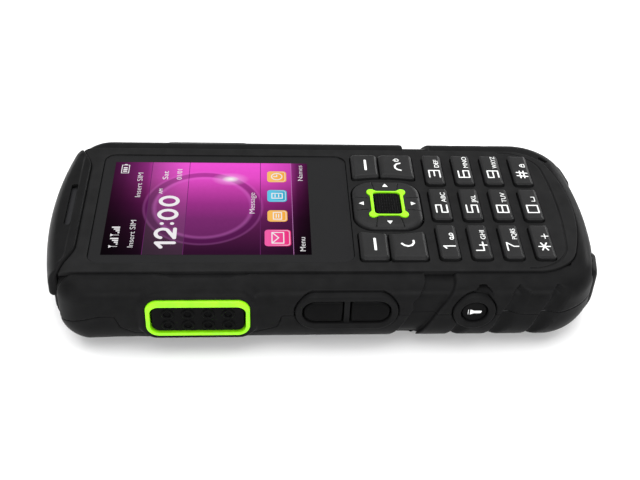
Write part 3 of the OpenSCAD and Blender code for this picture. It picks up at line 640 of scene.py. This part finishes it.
def nav_trim(x, y, z):
    y = y - NAV_Y
    ring = less(trim_outline(x, y), rect(x, y, 4.45, 3.45, 1.0))
    return both(ring, between(z, NAV_Z - 0.38, NAV_Z + 0.28), 0.14)


def ok_key(x, y, z):
    y = y - NAV_Y
    top = KEY_Z - 0.05
    weave = 0.12 * np.maximum(np.abs(np.cos(x * math.pi / 0.62)), np.abs(np.cos(y * math.pi / 0.62))) ** 6
    d = both(rect(x, y, 4.15, 3.15, 0.9), between(z, 17.2, top), 0.3)
    d = np.maximum(d, np.maximum(z - top + weave, rect(x, y, 4.15, 3.15, 0.9)))
    return np.minimum(d, both(rect(x, y, 4.75, 3.75, 1), between(z, 16.5, 17.2), 0.1))


NUMBERS = ["1", "2", "3", "4", "5", "6", "7", "8", "9", "star", "0", "hash"]
SQUARE = {
    "1": [[(0.28, 0.78), (0.56, 1), (0.56, 0)]],
    "2": [[(0, 1), (1, 1), (1, 0.52), (0, 0.52), (0, 0), (1, 0)]],
    "3": [[(0, 1), (1, 1), (1, 0), (0, 0)], [(0.2, 0.52), (1, 0.52)]],
    "4": [[(0, 1), (0, 0.32), (1.05, 0.32)], [(0.68, 0.62), (0.68, 0)]],
    "5": [[(1, 1), (0, 1), (0, 0.52), (1, 0.52), (1, 0), (0, 0)]],
    "6": [[(0.95, 1), (0, 1), (0, 0), (1, 0), (1, 0.52), (0, 0.52)]],
    "7": [[(0, 1), (1, 1), (0.52, 0.42), (0.52, 0)]],
    "8": [[(0, 0), (0, 1), (1, 1), (1, 0), (0, 0)], [(0, 0.52), (1, 0.52)]],
    "9": [[(1, 0.48), (0, 0.48), (0, 1), (1, 1), (1, 0), (0.05, 0)]],
    "0": [[(0, 0), (0, 1), (1, 1), (1, 0), (0, 0)]],
    "star": [[(0.5, 1), (0.5, 0)], [(0.05, 0.75), (0.95, 0.25)], [(0.05, 0.25), (0.95, 0.75)]],
    "hash": [[(0.32, 1), (0.2, 0)], [(0.8, 1), (0.68, 0)], [(0, 0.68), (1, 0.68)], [(0, 0.32), (1, 0.32)]],
}
LETTERS = {"2": "ABC", "3": "DEF", "4": "GHI", "5": "JKL", "6": "MNO", "7": "PQRS", "8": "TUV", "9": "WXYZ"}


def scaled(lines, x, y, w=1, h=1):
    return [[(x + u * w, y + v * h) for u, v in line] for line in lines]


def ring_line(x, y, r, start=0, end=360, count=20):
    angles = [math.radians(start + (end - start) * i / count) for i in range(count + 1)]
    return [(x + r * math.cos(a), y + r * math.sin(a)) for a in angles]


def box_line(x0, y0, x1, y1, r=0.0):
    if not r:
        return [(x0, y0), (x1, y0), (x1, y1), (x0, y1)]
    line = []
    corners = ((x1 - r, y0 + r, -90), (x1 - r, y1 - r, 0), (x0 + r, y1 - r, 90), (x0 + r, y0 + r, 180))
    for cx, cy, start in corners:
        line += ring_line(cx, cy, r, start, start + 90, 6)
    return line


def closed(line):
    return [*line, line[0]]


def printed(name, lines, width, z, body, slot, look, filled=(), thick=0.05):
    """Print: lines of one width and filled outlines, standing thick above z."""
    corners = np.array([p for line in [*lines, *filled] for p in line])
    margin = width / 2 + 0.05

    def field(x, y, zz):
        d = np.inf
        for line in lines:
            d = np.minimum(d, path(x, y, line) - width / 2)
        for outline in filled:
            d = np.minimum(d, polygon(x, y, outline))
        return both(d, between(zz, z - 0.05, z + thick), 0.015)

    low, high = corners.min(0) - margin, corners.max(0) + margin
    made = moulded(name, field, (*low, z - 0.05), (*high, z + thick), (0.075, 0.075, 0.03), body, slot,
                   adapt=0.0)
    made.data.materials[0] = look
    return made


def lettering(text, x, y, z, height, stretch=1.0, bold=0.0):
    """A mesh of generic lettering with its lower left corner at x, y."""
    curve = bpy.data.curves.new("lettering", "FONT")
    curve.body, curve.size, curve.offset = text, height / 0.72 * MM, bold * MM
    curve.extrude = 0.02 * MM
    made = bpy.data.objects.new("lettering", curve)
    bpy.context.scene.collection.objects.link(made)
    bpy.context.view_layer.update()
    mesh = bpy.data.meshes.new_from_object(made.evaluated_get(bpy.context.evaluated_depsgraph_get()))
    bpy.data.objects.remove(made)
    mesh.transform(Matrix.Translation(Vector((x, y, z)) * MM) @ Matrix.Diagonal((stretch, 1, 1, 1)))
    return mesh


def joined(name, meshes, body, look):
    """Several meshes as one piece."""
    points, faces = [], []
    for mesh in meshes:
        start = len(points)
        points += [v.co[:] for v in mesh.vertices]
        faces += [[start + i for i in p.vertices] for p in mesh.polygons]
        bpy.data.meshes.remove(mesh)
    made = bpy.data.meshes.new(name)
    made.from_pydata(points, [], faces)
    made.materials.append(look)
    return placed(name, made, body)


def key_place(number):
    row, column = divmod(NUMBERS.index(number), 3)
    return (column - 1) * PITCH_X, ROW_Y - row * PITCH_Y


WHITE = material("key_print")

for number in NUMBERS:
    kx, ky = key_place(number)
    body = "key_" + number
    if number == NUMBERS[0]:
        cap = moulded("cap_" + number, number_key, (-6.9, -3.2, 16.5), (6.9, 3.2, 21.6), 0.17, body,
                      "key_black", [body], at=(kx, ky, 0))
        cap_mesh = cap.data
    else:
        placed("cap_" + number, cap_mesh, body, [body], (kx, ky, 0))
    lines = scaled(SQUARE[number], kx - 3.75, ky - 1.4, 2.9, 2.75)
    printed("digit_" + number, lines, 0.37, KEY_Z, body, "key_black", WHITE)
    if number in LETTERS:
        text = LETTERS[number]
        stretch = 1.22 if len(text) < 4 else 1.0
        word = lettering(text, kx + 0.35, ky - 1.55, KEY_Z + 0.02, 1.25, stretch)
        joined("letters_" + number, [word], body, WHITE)

SIGNS = {
    "1": [ring_line(0.8, -0.95, 0.42), ring_line(2.3, -0.95, 0.42), [(0.8, -1.4), (2.3, -1.4)]],
    "0": [[(0.9, -0.4), (0.9, -1.2), (2.6, -1.2), (2.6, -0.4)]],
    "star": [[(1.6, 0.0), (1.6, -1.7)], [(0.75, -0.85), (2.45, -0.85)]],
    "hash": [ring_line(1.6, -0.5, 0.42, 0, 180, 10), closed(box_line(1.0, -0.6, 2.2, -1.3))],
}
for number, lines in SIGNS.items():
    moved = scaled(lines, *key_place(number))
    printed("sign_" + number, moved, 0.24, KEY_Z, "key_" + number, "key_black", WHITE)

HANDSET = [(-1.55, 0.55), (-1.25, -0.25), (-0.5, -0.85), (0.5, -0.85), (1.25, -0.25), (1.55, 0.55)]
WINGS = {
    "left_soft_key": (-1, True, [[(-18.1, -10.6), (-14.1, -10.6)]]),
    "right_soft_key": (1, True, [[(14.1, -10.6), (18.1, -10.6)]]),
    "call_key": (-1, False, [[(v * 0.94 + u * 0.34 - 15.9, -u * 0.94 + v * 0.34 - 18.7)
                              for u, v in HANDSET]]),
    "end_key": (1, False, [[(u + 15.4, -v - 19.2) for u, v in HANDSET],
                           ring_line(18.3, -18.9, 0.6, -235, 55, 12), [(18.3, -18.9), (18.3, -18.1)]]),
}
for name, (side, upper, lines) in WINGS.items():
    low, high = (-14.2, -6.8) if upper else (-23.3, -14.1)
    xs = sorted((side * 10, side * 21.4))
    moulded(name.replace("key", "cap"), wing_key(side, upper), (xs[0], low, 16.5), (xs[1], high, 21.6), 0.18,
            name, "key_black", [name])
    wide = 0.62 if "soft" in name else 0.5
    printed(name.replace("key", "sign"), lines[:1], wide, KEY_Z, name, "key_black", WHITE)
    if lines[1:]:
        printed("power_sign", lines[1:], 0.24, KEY_Z, name, "key_black", WHITE)

moulded("nav_disc", nav_ring, (-9.8, -24.4, 16.1), (9.8, -5.6, 21.3), 0.17, "nav_key", "key_black",
        ["nav_ring"])
moulded("nav_frame", nav_trim, (-5.8, -20.2, 20.8), (5.8, -9.8, 21.6), (0.12, 0.12, 0.09), "nav_key",
        "lime_green", ["nav_trim"], adapt=0.0)
moulded("ok_cap", ok_key, (-4.8, -18.8, 16.5), (4.8, -11.2, 21.5), 0.1, "ok_key", "side_key_black",
        ["ok_key"])
arrows = []
for dx, dy in ((0, 1), (0, -1), (1, 0), (-1, 0)):
    cx, cy = dx * 7.55, NAV_Y + dy * 6.55
    tip, wide = 0.62, 0.72
    arrows.append([(cx + dx * tip, cy + dy * tip),
                   (cx - dx * tip - dy * wide, cy - dy * tip + dx * wide),
                   (cx - dx * tip + dy * wide, cy - dy * tip - dx * wide)])
printed("nav_arrows", [], 0.1, NAV_Z, "nav_key", "key_black", WHITE, arrows)

# -------- side keys


def talk_bezel(x, y, z):
    y, z = y - BOSS_Y, z - BOSS_Z
    opening = rect(y, z + 0.55, BEZEL_L - 1.0, BEZEL_H - 1.35, 2.0)
    ring = less(rect(y, z, BEZEL_L, BEZEL_H, 3.0), opening, 0.05)
    return both(ring, between(x, -SIDE_PROUD, -SEAT_X), 0.4)


def talk_key(x, y, z):
    y, z = y - BOSS_Y, z - BOSS_Z
    d = both(rect(y, z + 0.5, BEZEL_L - 1.3, BEZEL_H - 1.65, 1.8), between(x, -31.3, -28.0), 0.35)
    flange = both(rect(y, z - 0.2, 11.6, 4.5, 2), between(x, *KEY_FLANGE), 0.1)
    d = np.minimum(d, flange)
    # Two rows of dimples, each with a raised rim
    u, v = np.broadcast_arrays(fold(y, 4.6), np.abs(z + 0.5) - 1.7)
    d = less(d, np.sqrt(u**2 + v**2 + (x + 32.45) ** 2) - 1.5, 0.1)
    rim = np.hypot(np.hypot(u, v) - 1.15, x + 31.3) - 0.32
    return either(d, both(rim, np.abs(y) - 9.4), 0.1)


def volume_ring(x, y, z):
    y, z = y - VOL_Y, z - VOL_Z
    ring = less(rect(y, z, 12.05, 5.25, 5.2), rect(y, z, 10.35, 3.45, 3.2))
    d = both(ring, between(x, -SIDE_TOP, -SEAT_X), 0.5)
    bar = both(rect(y, z, 0.7, 3.6, 0.2), between(x, -30.6, -SEAT_X), 0.15)
    return np.minimum(d, bar)


def volume_key(side):
    def field(x, y, z):
        y, z = y - VOL_Y, z - VOL_Z
        outline = both(rect(y, z, 10.15, 3.2, 3.0), 0.95 - side * y, 0.5)
        crown = 31.05 - 0.02 * z * z
        d = both(outline, both(-x - crown, x + 28.05), 0.7)
        flange = both(rect(y - side * 5.4, z, 5.1, 3.7, 2.5), between(x, *KEY_FLANGE), 0.1)
        return np.minimum(d, flange)
    return field


def torch_ring(x, y, z):
    r = np.hypot(y - TORCH_Y, z - TORCH_Z)
    return both(np.abs(r - 4.15) - 0.95, between(x, -SIDE_TOP, -SEAT_X), 0.5)


def torch_key(x, y, z):
    r = np.hypot(y - TORCH_Y, z - TORCH_Z)
    d = both(r - 3.0, between(x, -30.75, -28.0), 0.4)
    d = less(d, np.hypot(r, x + 44.5) - 13.95, 0.1)
    return np.minimum(d, both(r - 3.7, between(x, *KEY_FLANGE), 0.1))


def port_cover(x, y, z):
    outline = rect(y - BOSS_Y, z - PORT_Z, BOSS_L, PORT_H, 3.0)
    d = both(outline, between(x, 29.5, SIDE_PROUD), 0.45)
    # Grip ribs, hinge lines, and the relief and nick at the ends
    ribs = both(fold(z - PORT_Z, 1.6) - 0.28, np.abs(z - PORT_Z) - 3.2)
    d = less(d, both(both(ribs, np.abs(y - 38.2) - 2.6, 0.2), 31.5 - x), 0.15)
    hinge = np.abs(np.abs(y - 22.3) - 0.6) - 0.16
    d = less(d, both(both(hinge, np.abs(z - PORT_Z) - 4.6), 31.45 - x), 0.1)
    d = less(d, (y - HINGE_Y - (x - HINGE_X)) / math.sqrt(2) + 0 * z, 0.15)
    d = less(d, disc(x - 31.85, y - 43.05, 0.8) + np.maximum(np.abs(z - PORT_Z) - 3, 0), 0.15)
    usb = both(rect(y - USB_Y, z - SOCKET_Z, 3.2, 0.8, 0.4), between(x, 28.6, 29.6), 0.2)
    plug = both(disc(y - JACK_Y, z - SOCKET_Z, 1.1), between(x, 28.6, 29.6), 0.3)
    return np.minimum(d, np.minimum(usb, plug))


moulded("talk_frame", talk_bezel, (-31.9, 18.5, 6.5), (-29.3, 43.1, 17.9), 0.17, "chassis", "lime_green",
        ["talk_bezel"])
moulded("talk_pad", talk_key, (-31.75, 19, 7.4), (-27.2, 42.6, 17), 0.15, "talk_key", "side_key_black",
        ["talk_key"])
moulded("volume_frame", volume_ring, (-31.4, -15.6, 7.9), (-29.3, 8.8, 18.6), 0.17, "chassis", "shell_black",
        ["volume_surround"])
moulded("volume_up_pad", volume_key(1), (-31.2, -3.5, 9.3), (-27.2, 7.3, 17), 0.17, "volume_up_key",
        "side_key_black", ["volume_up_key"])
moulded("volume_down_pad", volume_key(-1), (-31.2, -14.1, 9.3), (-27.2, -3.3, 17), 0.17, "volume_down_key",
        "side_key_black", ["volume_down_key"])
moulded("torch_frame", torch_ring, (-31.4, -38.7, 7.8), (-29.3, -28.3, 18.2), 0.17, "chassis", "shell_black",
        ["torch_surround"])
moulded("torch_pad", torch_key, (-30.8, -37.4, 9.2), (-27.2, -29.6, 16.8), 0.15, "torch_key",
        "side_key_black", ["torch_key"])
moulded("port_flap", port_cover, (28.6, 18.5, 6.5), (31.9, 43.1, 16.9), 0.17, "port_cover", "rubber_black",
        ["port_cover"])


def side_print(name, lines, width, face_x, body, filled):
    """White print on the left-hand side: lines are in Y and Z."""
    made = printed(name, lines, width, 0, body, "side_key_black", WHITE, filled, 0.04)
    turn = Matrix(((0, 0, -1, face_x * MM), (1, 0, 0, 0), (0, 1, 0, 0), (0, 0, 0, 1)))
    made.data.transform(turn)
    made.data.flip_normals()


cy, cz = TORCH_Y, TORCH_Z - 0.2
rays = [[(cy + 0.9 + i * 0.55, cz - 0.75), (cy + 0.9 + i * 0.55, cz + 0.75)] for i in (1, 2, 3)]
torch = [(cy + 1.0, cz + 0.8), (cy + 1.0, cz - 0.8), (cy + 0.1, cz - 0.4), (cy - 2.0, cz - 0.4),
         (cy - 2.0, cz + 0.4), (cy + 0.1, cz + 0.4)]
side_print("torch_sign", rays, 0.16, -30.62, "torch_key", [torch])

# -------- back: cover, locks, battery, lens


def battery_cover(x, y, z):
    d = both(rect(x, y + 10.5, 23.2, 44.5, 1.2), between(z, 0.2, 2.0), 0.2)
    d = both(d, form(x, y, z) + 0.05, 0.2)
    for sx in (-LOCK_X, LOCK_X):
        d = less(d, both(disc(x - sx, y - LOCK_Y, 3.5), z - 1.2), 0.12)
        d = less(d, disc(x - sx, y - LOCK_Y, 2.05) + 0 * z, 0.08)
    ribs = both(fold(y, 2.2) - 0.45, np.abs(y - 24.2) - 5.5)
    d = less(d, both(both(ribs, np.abs(x) - 14 + 0.4 * np.abs(y - 24.2), 0.3), z - 0.5), 0.15)
    frame_line = np.abs(rect(x, y + 12, 19, 27, 4)) - 0.25
    return less(d, both(frame_line, z - 0.45), 0.12)


def cover_lock(side):
    def field(x, y, z):
        r = np.hypot(x - side * LOCK_X, y - LOCK_Y)
        d = both(r - 3.4, between(z, 0.3, 1.2), 0.15)
        d = np.minimum(d, both(r - 1.95, between(z, 1.1, 7.2), 0.2))
        slot = rect(x - side * LOCK_X, y - LOCK_Y, 2.7, 0.5, 0.2)
        return less(d, both(slot, z - 0.8), 0.06)
    return field


def battery_pack(x, y, z):
    d = both(rect(x, y + 16.25, 21.8, 28.75, 1.4), between(z, 2.2, 8.3), 0.9)
    seam = np.abs(y - 9.2) - 0.12
    return less(d, both(seam + 0 * x, -(d + 0.15)), 0.08)


def torch_lens(x, y, z):
    r = np.hypot(x, z - LENS_Z)
    d = both(r - 2.7, between(y, 62.4, 65.85), 0.25)
    return less(d, np.hypot(r, y - 69.2) - 4.0, 0.1)


moulded("battery_door", battery_cover, (-23.3, -55.1, 0.1), (23.3, 34.1, 2.1), (0.3, 0.3, 0.2),
        "battery_cover", "shell_black", ["battery_cover"])
for name, side in (("left", -1), ("right", 1)):
    node = "cover_lock_" + name
    middle = side * LOCK_X
    moulded("coin_lock_" + name, cover_lock(side), (middle - 3.5, -54, 0.2), (middle + 3.5, -47, 7.3), 0.17,
            node, "steel", [node])
moulded("battery_pack", battery_pack, (-21.9, -45.1, 2.1), (21.9, 12.6, 8.4), 0.4, "chassis", "battery_wrap",
        ["battery"])
moulded("torch_glass", torch_lens, (-2.8, 62.3, 4.8), (2.8, 66, 10.4), 0.2, "chassis", "lens_clear",
        ["torch_lens"])

# -------- lit display


def flat(name, outlines, z, look):
    """Flat lit patches of the display picture."""
    points, faces = [], []
    for outline in outlines:
        start = len(points)
        points += [(x * MM, y * MM, z * MM) for x, y in outline]
        faces.append(list(range(start, start + len(outline))))
    mesh = bpy.data.meshes.new(name)
    mesh.from_pydata(points, [], faces)
    mesh.materials.append(look)
    return placed(name, mesh, "chassis")


def wallpaper():
    """Magenta picture with a pale ring and a glow, made in the shader from the place on the screen."""
    made, nodes, links, shader = graph("wallpaper")

    def math_node(operation, a, b=None):
        n = nodes.new("ShaderNodeMath")
        n.operation = operation
        for socket, value in zip(n.inputs, (a, b)):
            if value is None:
                continue
            if isinstance(value, (int, float)):
                socket.default_value = value
            else:
                links.new(value, socket)
        return n.outputs[0]

    split = nodes.new("ShaderNodeSeparateXYZ")
    links.new(nodes.new("ShaderNodeTexCoord").outputs["Object"], split.inputs[0])
    x = math_node("MULTIPLY", split.outputs["X"], 1000)
    y = math_node("MULTIPLY", split.outputs["Y"], 1000)

    def distance(cx, cy, sx=1.0, sy=1.0):
        du = math_node("DIVIDE", math_node("SUBTRACT", x, cx), sx)
        dv = math_node("DIVIDE", math_node("SUBTRACT", y, cy), sy)
        squares = math_node("MULTIPLY", du, du), math_node("MULTIPLY", dv, dv)
        return math_node("SQRT", math_node("ADD", *squares))

    def layer(under, factor, over, mode="MIX"):
        n = nodes.new("ShaderNodeMix")
        n.data_type, n.blend_type = "RGBA", mode
        n.inputs["Factor"].default_value = 1
        links.new(under, n.inputs["A"])
        if factor:
            links.new(factor, n.inputs["Factor"])
        if isinstance(over, tuple):
            n.inputs["B"].default_value = (*over, 1)
        else:
            links.new(over, n.inputs["B"])
        return n.outputs["Result"]

    # Brighter towards the right, darker at both ends
    across = spread(nodes, links, x, 0, 1, -18, 18)
    colour = ramp(nodes, links, across, [
        (0.02, (0.03, 0.004, 0.025)), (0.2, (0.07, 0.008, 0.053)), (0.36, (0.115, 0.012, 0.086)),
        (0.53, (0.27, 0.02, 0.19)), (0.69, (0.52, 0.045, 0.36)), (0.83, (0.8, 0.075, 0.58)),
        (0.98, (0.9, 0.085, 0.68)),
    ])
    shades = [(4.5, 0.06), (7.3, 0.16), (8.6, 0.31), (8.9, 0.7), (13, 0.85), (17, 1), (34.6, 1), (37, 0.9),
              (44, 0.45), (45.2, 0.28), (48, 0.17), (51, 0.09), (53.5, 0.05)]
    along = spread(nodes, links, y, 0, 1, 4, 54)
    fade = ramp(nodes, links, along, [((at - 4) / 50, (shade,) * 3) for at, shade in shades])
    colour = layer(colour, None, fade, "MULTIPLY")
    ring = distance(-0.2, 30.6)
    colour = layer(colour, spread(nodes, links, ring, 0.12, 0.0, 11.4, 12.3), (0.75, 0.10, 0.66))
    # The ring's dark body and the pale lines along its edges
    for radius, cover, start, end, tint in (
        (13.2, 0.5, 0.7, 1.1, (0.11, 0.008, 0.10)),
        (11.9, 0.22, 0.1, 0.8, (0.85, 0.22, 0.8)),
        (14.4, 0.12, 0.1, 0.5, (0.85, 0.22, 0.8)),
    ):
        off = math_node("ABSOLUTE", math_node("SUBTRACT", ring, radius))
        colour = layer(colour, spread(nodes, links, off, cover, 0.0, start, end), tint)
    glow = spread(nodes, links, distance(11.3, 24.2, 1.9, 3.2), 0.7, 0.0, 0.0, 1.5)
    colour = layer(colour, glow, (1.0, 0.5, 0.95))
    core = spread(nodes, links, distance(11.3, 24.2, 1.0, 1.7), 1.0, 0.0, 0.2, 1.3)
    colour = layer(colour, core, (0.95, 0.92, 0.9))
    band = math_node("MULTIPLY", math_node("GREATER_THAN", y, 34.7), math_node("LESS_THAN", y, 44.1))
    colour = layer(colour, math_node("MULTIPLY", band, 0.045), (0.5, 0.42, 0.5))
    grain = noise(nodes, links, 900, 2.0)
    colour = layer(colour, spread(nodes, links, grain, 0.0, 0.04), (0, 0, 0))
    lit_up(links, shader, colour, 1.0, 0.001)
    return made


PICTURE_Z = GLASS_Z + 0.03
RULE_Z, UI_Z, CLOCK_Z, GLYPH_Z = PICTURE_Z + 0.02, PICTURE_Z + 0.03, PICTURE_Z + 0.05, PICTURE_Z + 0.06
lit = box_line(-LIT_W, LIT_Y - LIT_L, LIT_W, LIT_Y + LIT_L)
flat("screen_picture", [lit], PICTURE_Z, wallpaper())
white_glow = glowing("screen_white", (0.86, 0.84, 0.86), 1.0)
lines_glow = glowing("screen_lines", (0.16, 0.02, 0.15), 0.8)
rules = [box_line(-LIT_W, y, LIT_W, y + 0.14) for y in (44.05, 34.6, 16.55)]
flat("screen_rules", rules, RULE_Z, lines_glow)
flat("screen_bright_rule", [box_line(-LIT_W, 8.7, LIT_W, 8.82)], RULE_Z,
     glowing("screen_rule_white", (0.5, 0.2, 0.48), 1.0))
words = [
    lettering("AM", 5.0, 40.9, UI_Z, 0.95, 1.1),
    lettering("Sat", 10.9, 39.9, UI_Z, 1.45, 1.5, -0.01),
    lettering("01/01", 10.9, 36.5, UI_Z, 1.3, 1.2, -0.01),
    lettering("Insert SIM", -15.9, 46.3, UI_Z, 1.4, 1.32, -0.03),
    lettering("Insert SIM", 3.4, 46.2, UI_Z, 1.4, 1.32, -0.03),
    lettering("Message", -3.0, 18.0, UI_Z, 1.4, 1.33, -0.03),
    lettering("Menu", -17.3, 5.9, UI_Z, 1.4, 1.25, -0.02),
    lettering("Names", 10.6, 5.8, UI_Z, 1.35, 1.3, -0.03),
]
CLOCK = [
    [(-15.7, 39.9), (-14.1, 41.1), (-14.1, 36.9)],
    [*ring_line(-10.6, 39.75, 1.65, 165, -38, 14), (-12.25, 36.95), (-8.9, 36.95)],
    [(-3.3 + 0.8 * (u + 3.3), v) for u, v in ring_line(-3.3, 39.0, 2.1)],
    [(2.0 + 0.8 * (u - 2.0), v) for u, v in ring_line(2.0, 39.0, 2.1)],
    [(-6.85, 40.2), (-6.85, 40.25)],
    [(-6.85, 37.75), (-6.85, 37.8)],
]
printed("screen_clock", CLOCK, 0.92, CLOCK_Z, "chassis", "display", white_glow)
joined("screen_words", words, "chassis", white_glow)

# Two aerials with their bars, and a battery with three cells
signs = []
for sx in (-15.9, -11.7):
    signs.append([(sx, 51.9), (sx + 1.0, 51.9), (sx + 0.5, 51.1)])
    signs.append(box_line(sx + 0.42, 49.9, sx + 0.58, 51.4))
    for i in range(4):
        signs.append(box_line(sx + 1.15 + i * 0.68, 49.9, sx + 1.6 + i * 0.68, 50.3 + i * 0.5))
signs += [box_line(14.1 + i * 0.75, 50.35, 14.6 + i * 0.75, 51.35) for i in range(3)]
signs += [box_line(*corners) for corners in (
    (13.6, 49.85, 17.0, 50.05), (13.6, 51.65, 17.0, 51.85), (13.5, 49.85, 13.7, 51.85),
    (16.9, 49.85, 17.1, 51.85), (17.1, 50.5, 17.4, 51.2),
)]
flat("screen_signs", signs, UI_Z, white_glow)

# Corners, colours at the foot and the top, and the mark's lines about the middle
ICONS = {
    "letter": ((-15.3, 9.3, -9.1, 15.6), (0.86, 0.03, 0.22), (0.95, 0.12, 0.42),
               [closed(box_line(-2, -1.4, 2, 1.4)), [(-2, 1.4), (0, -0.2), (2, 1.4)]]),
    "files": ((-6.0, 10.0, -1.5, 14.9), (0.95, 0.42, 0.05), (1.0, 0.55, 0.12),
              [closed(box_line(-1.3, -1, 1.3, 1)), [(-0.6, 0.3), (0.6, 0.3)], [(-0.6, -0.3), (0.6, -0.3)]]),
    "calls": ((1.9, 10.0, 6.8, 14.9), (0.03, 0.40, 0.62), (0.12, 0.62, 0.85),
              [closed(box_line(-1, -1.3, 1, 1.3)), [(-0.5, 0.5), (0.5, 0.5)], [(-0.5, -0.4), (0.5, -0.4)]]),
    "clock": ((10.1, 10.0, 14.8, 14.9), (0.95, 0.40, 0.05), (1.0, 0.58, 0.15),
              [ring_line(0, 0, 1.35), [(0, 0.8), (0, 0), (0.7, 0)]]),
}
glyphs = []
for name, ((x0, y0, x1, y1), low_colour, high_colour, lines) in ICONS.items():
    flat("icon_" + name, [box_line(x0, y0, x1, y1, 0.9)], RULE_Z,
         glowing("icon_" + name, low_colour, 0.95, high_colour))
    rim = closed(box_line(x0 + 0.35, y0 + 0.35, x1 - 0.35, y1 - 0.35, 0.7))
    pale = tuple(min(1, 0.45 + 0.5 * c) for c in high_colour)
    printed("icon_rim_" + name, [rim], 0.26, UI_Z, "chassis", "display",
            glowing("icon_rim_" + name, pale, 0.9, high_colour))
    glyphs += scaled(lines, (x0 + x1) / 2, (y0 + y1) / 2)
printed("icon_marks", glyphs, 0.26, GLYPH_Z, "chassis", "display", white_glow)

# -------- floor, light, camera

floor = bpy.data.meshes.new("floor")
floor.from_pydata([(-6, -6, 0), (6, -6, 0), (6, 6, 0), (-6, 6, 0)], [], [[0, 1, 2, 3]])
made, nodes, links, shader = graph("floor_paper")
tone = ramp(nodes, links, noise(nodes, links, 3), [(0.2, (0.92, 0.92, 0.925)), (0.8, (0.95, 0.95, 0.95))])
links.new(tone, shader.inputs["Base Color"])
given(shader, {"Roughness": 0.9, "Specular IOR Level": 0.1})
floor.materials.append(made)
ground = bpy.data.objects.new("floor", floor)
bpy.context.scene.collection.objects.link(ground)

world = bpy.data.worlds.new("studio")
world.use_nodes = True
given(world.node_tree.nodes["Background"], {"Color": (1, 1, 1, 1), "Strength": 0.64})
bpy.context.scene.world = world


def softbox(name, place, target, width, height, power):
    light = bpy.data.lights.new(name, "AREA")
    light.shape, light.size, light.size_y, light.energy = "RECTANGLE", width, height, power
    obj = bpy.data.objects.new(name, light)
    obj.location = place
    obj.rotation_euler = (Vector(target) - Vector(place)).to_track_quat("-Z", "Y").to_euler()
    bpy.context.scene.collection.objects.link(obj)


softbox("overhead", (0.1, 0.05, 0.95), (0, 0, 0), 1.3, 1.3, 13.0)
softbox("left_fill", (-0.75, -0.08, 0.5), (0, 0, 0.01), 0.6, 0.25, 4.6)
softbox("foot_fill", (0.75, -0.65, 0.22), (0, 0, 0), 0.6, 0.25, 2.6)

LENS_MM, SENSOR_MM, SHIFT = 60.508125, 36.0, -0.09109375
camera = bpy.data.cameras.new("camera")
camera.sensor_width, camera.lens, camera.shift_x = SENSOR_MM, LENS_MM, SHIFT
camera.clip_start, camera.clip_end = 0.01, 20
looking = Vector((0.7643, -0.1091, -0.6356)).normalized()
right = Vector((-0.0834, -0.9940, 0.0704))
up = right.cross(looking).normalized()
right = looking.cross(up).normalized()
axes = Matrix((right, up, -looking)).transposed().to_4x4()
view = bpy.data.objects.new("camera", camera)
view.matrix_world = Matrix.Translation((-0.21164, 0.01665, 0.18537)) @ axes
bpy.context.scene.collection.objects.link(view)
bpy.context.scene.camera = view
bpy.context.scene.view_settings.view_transform = "Standard"
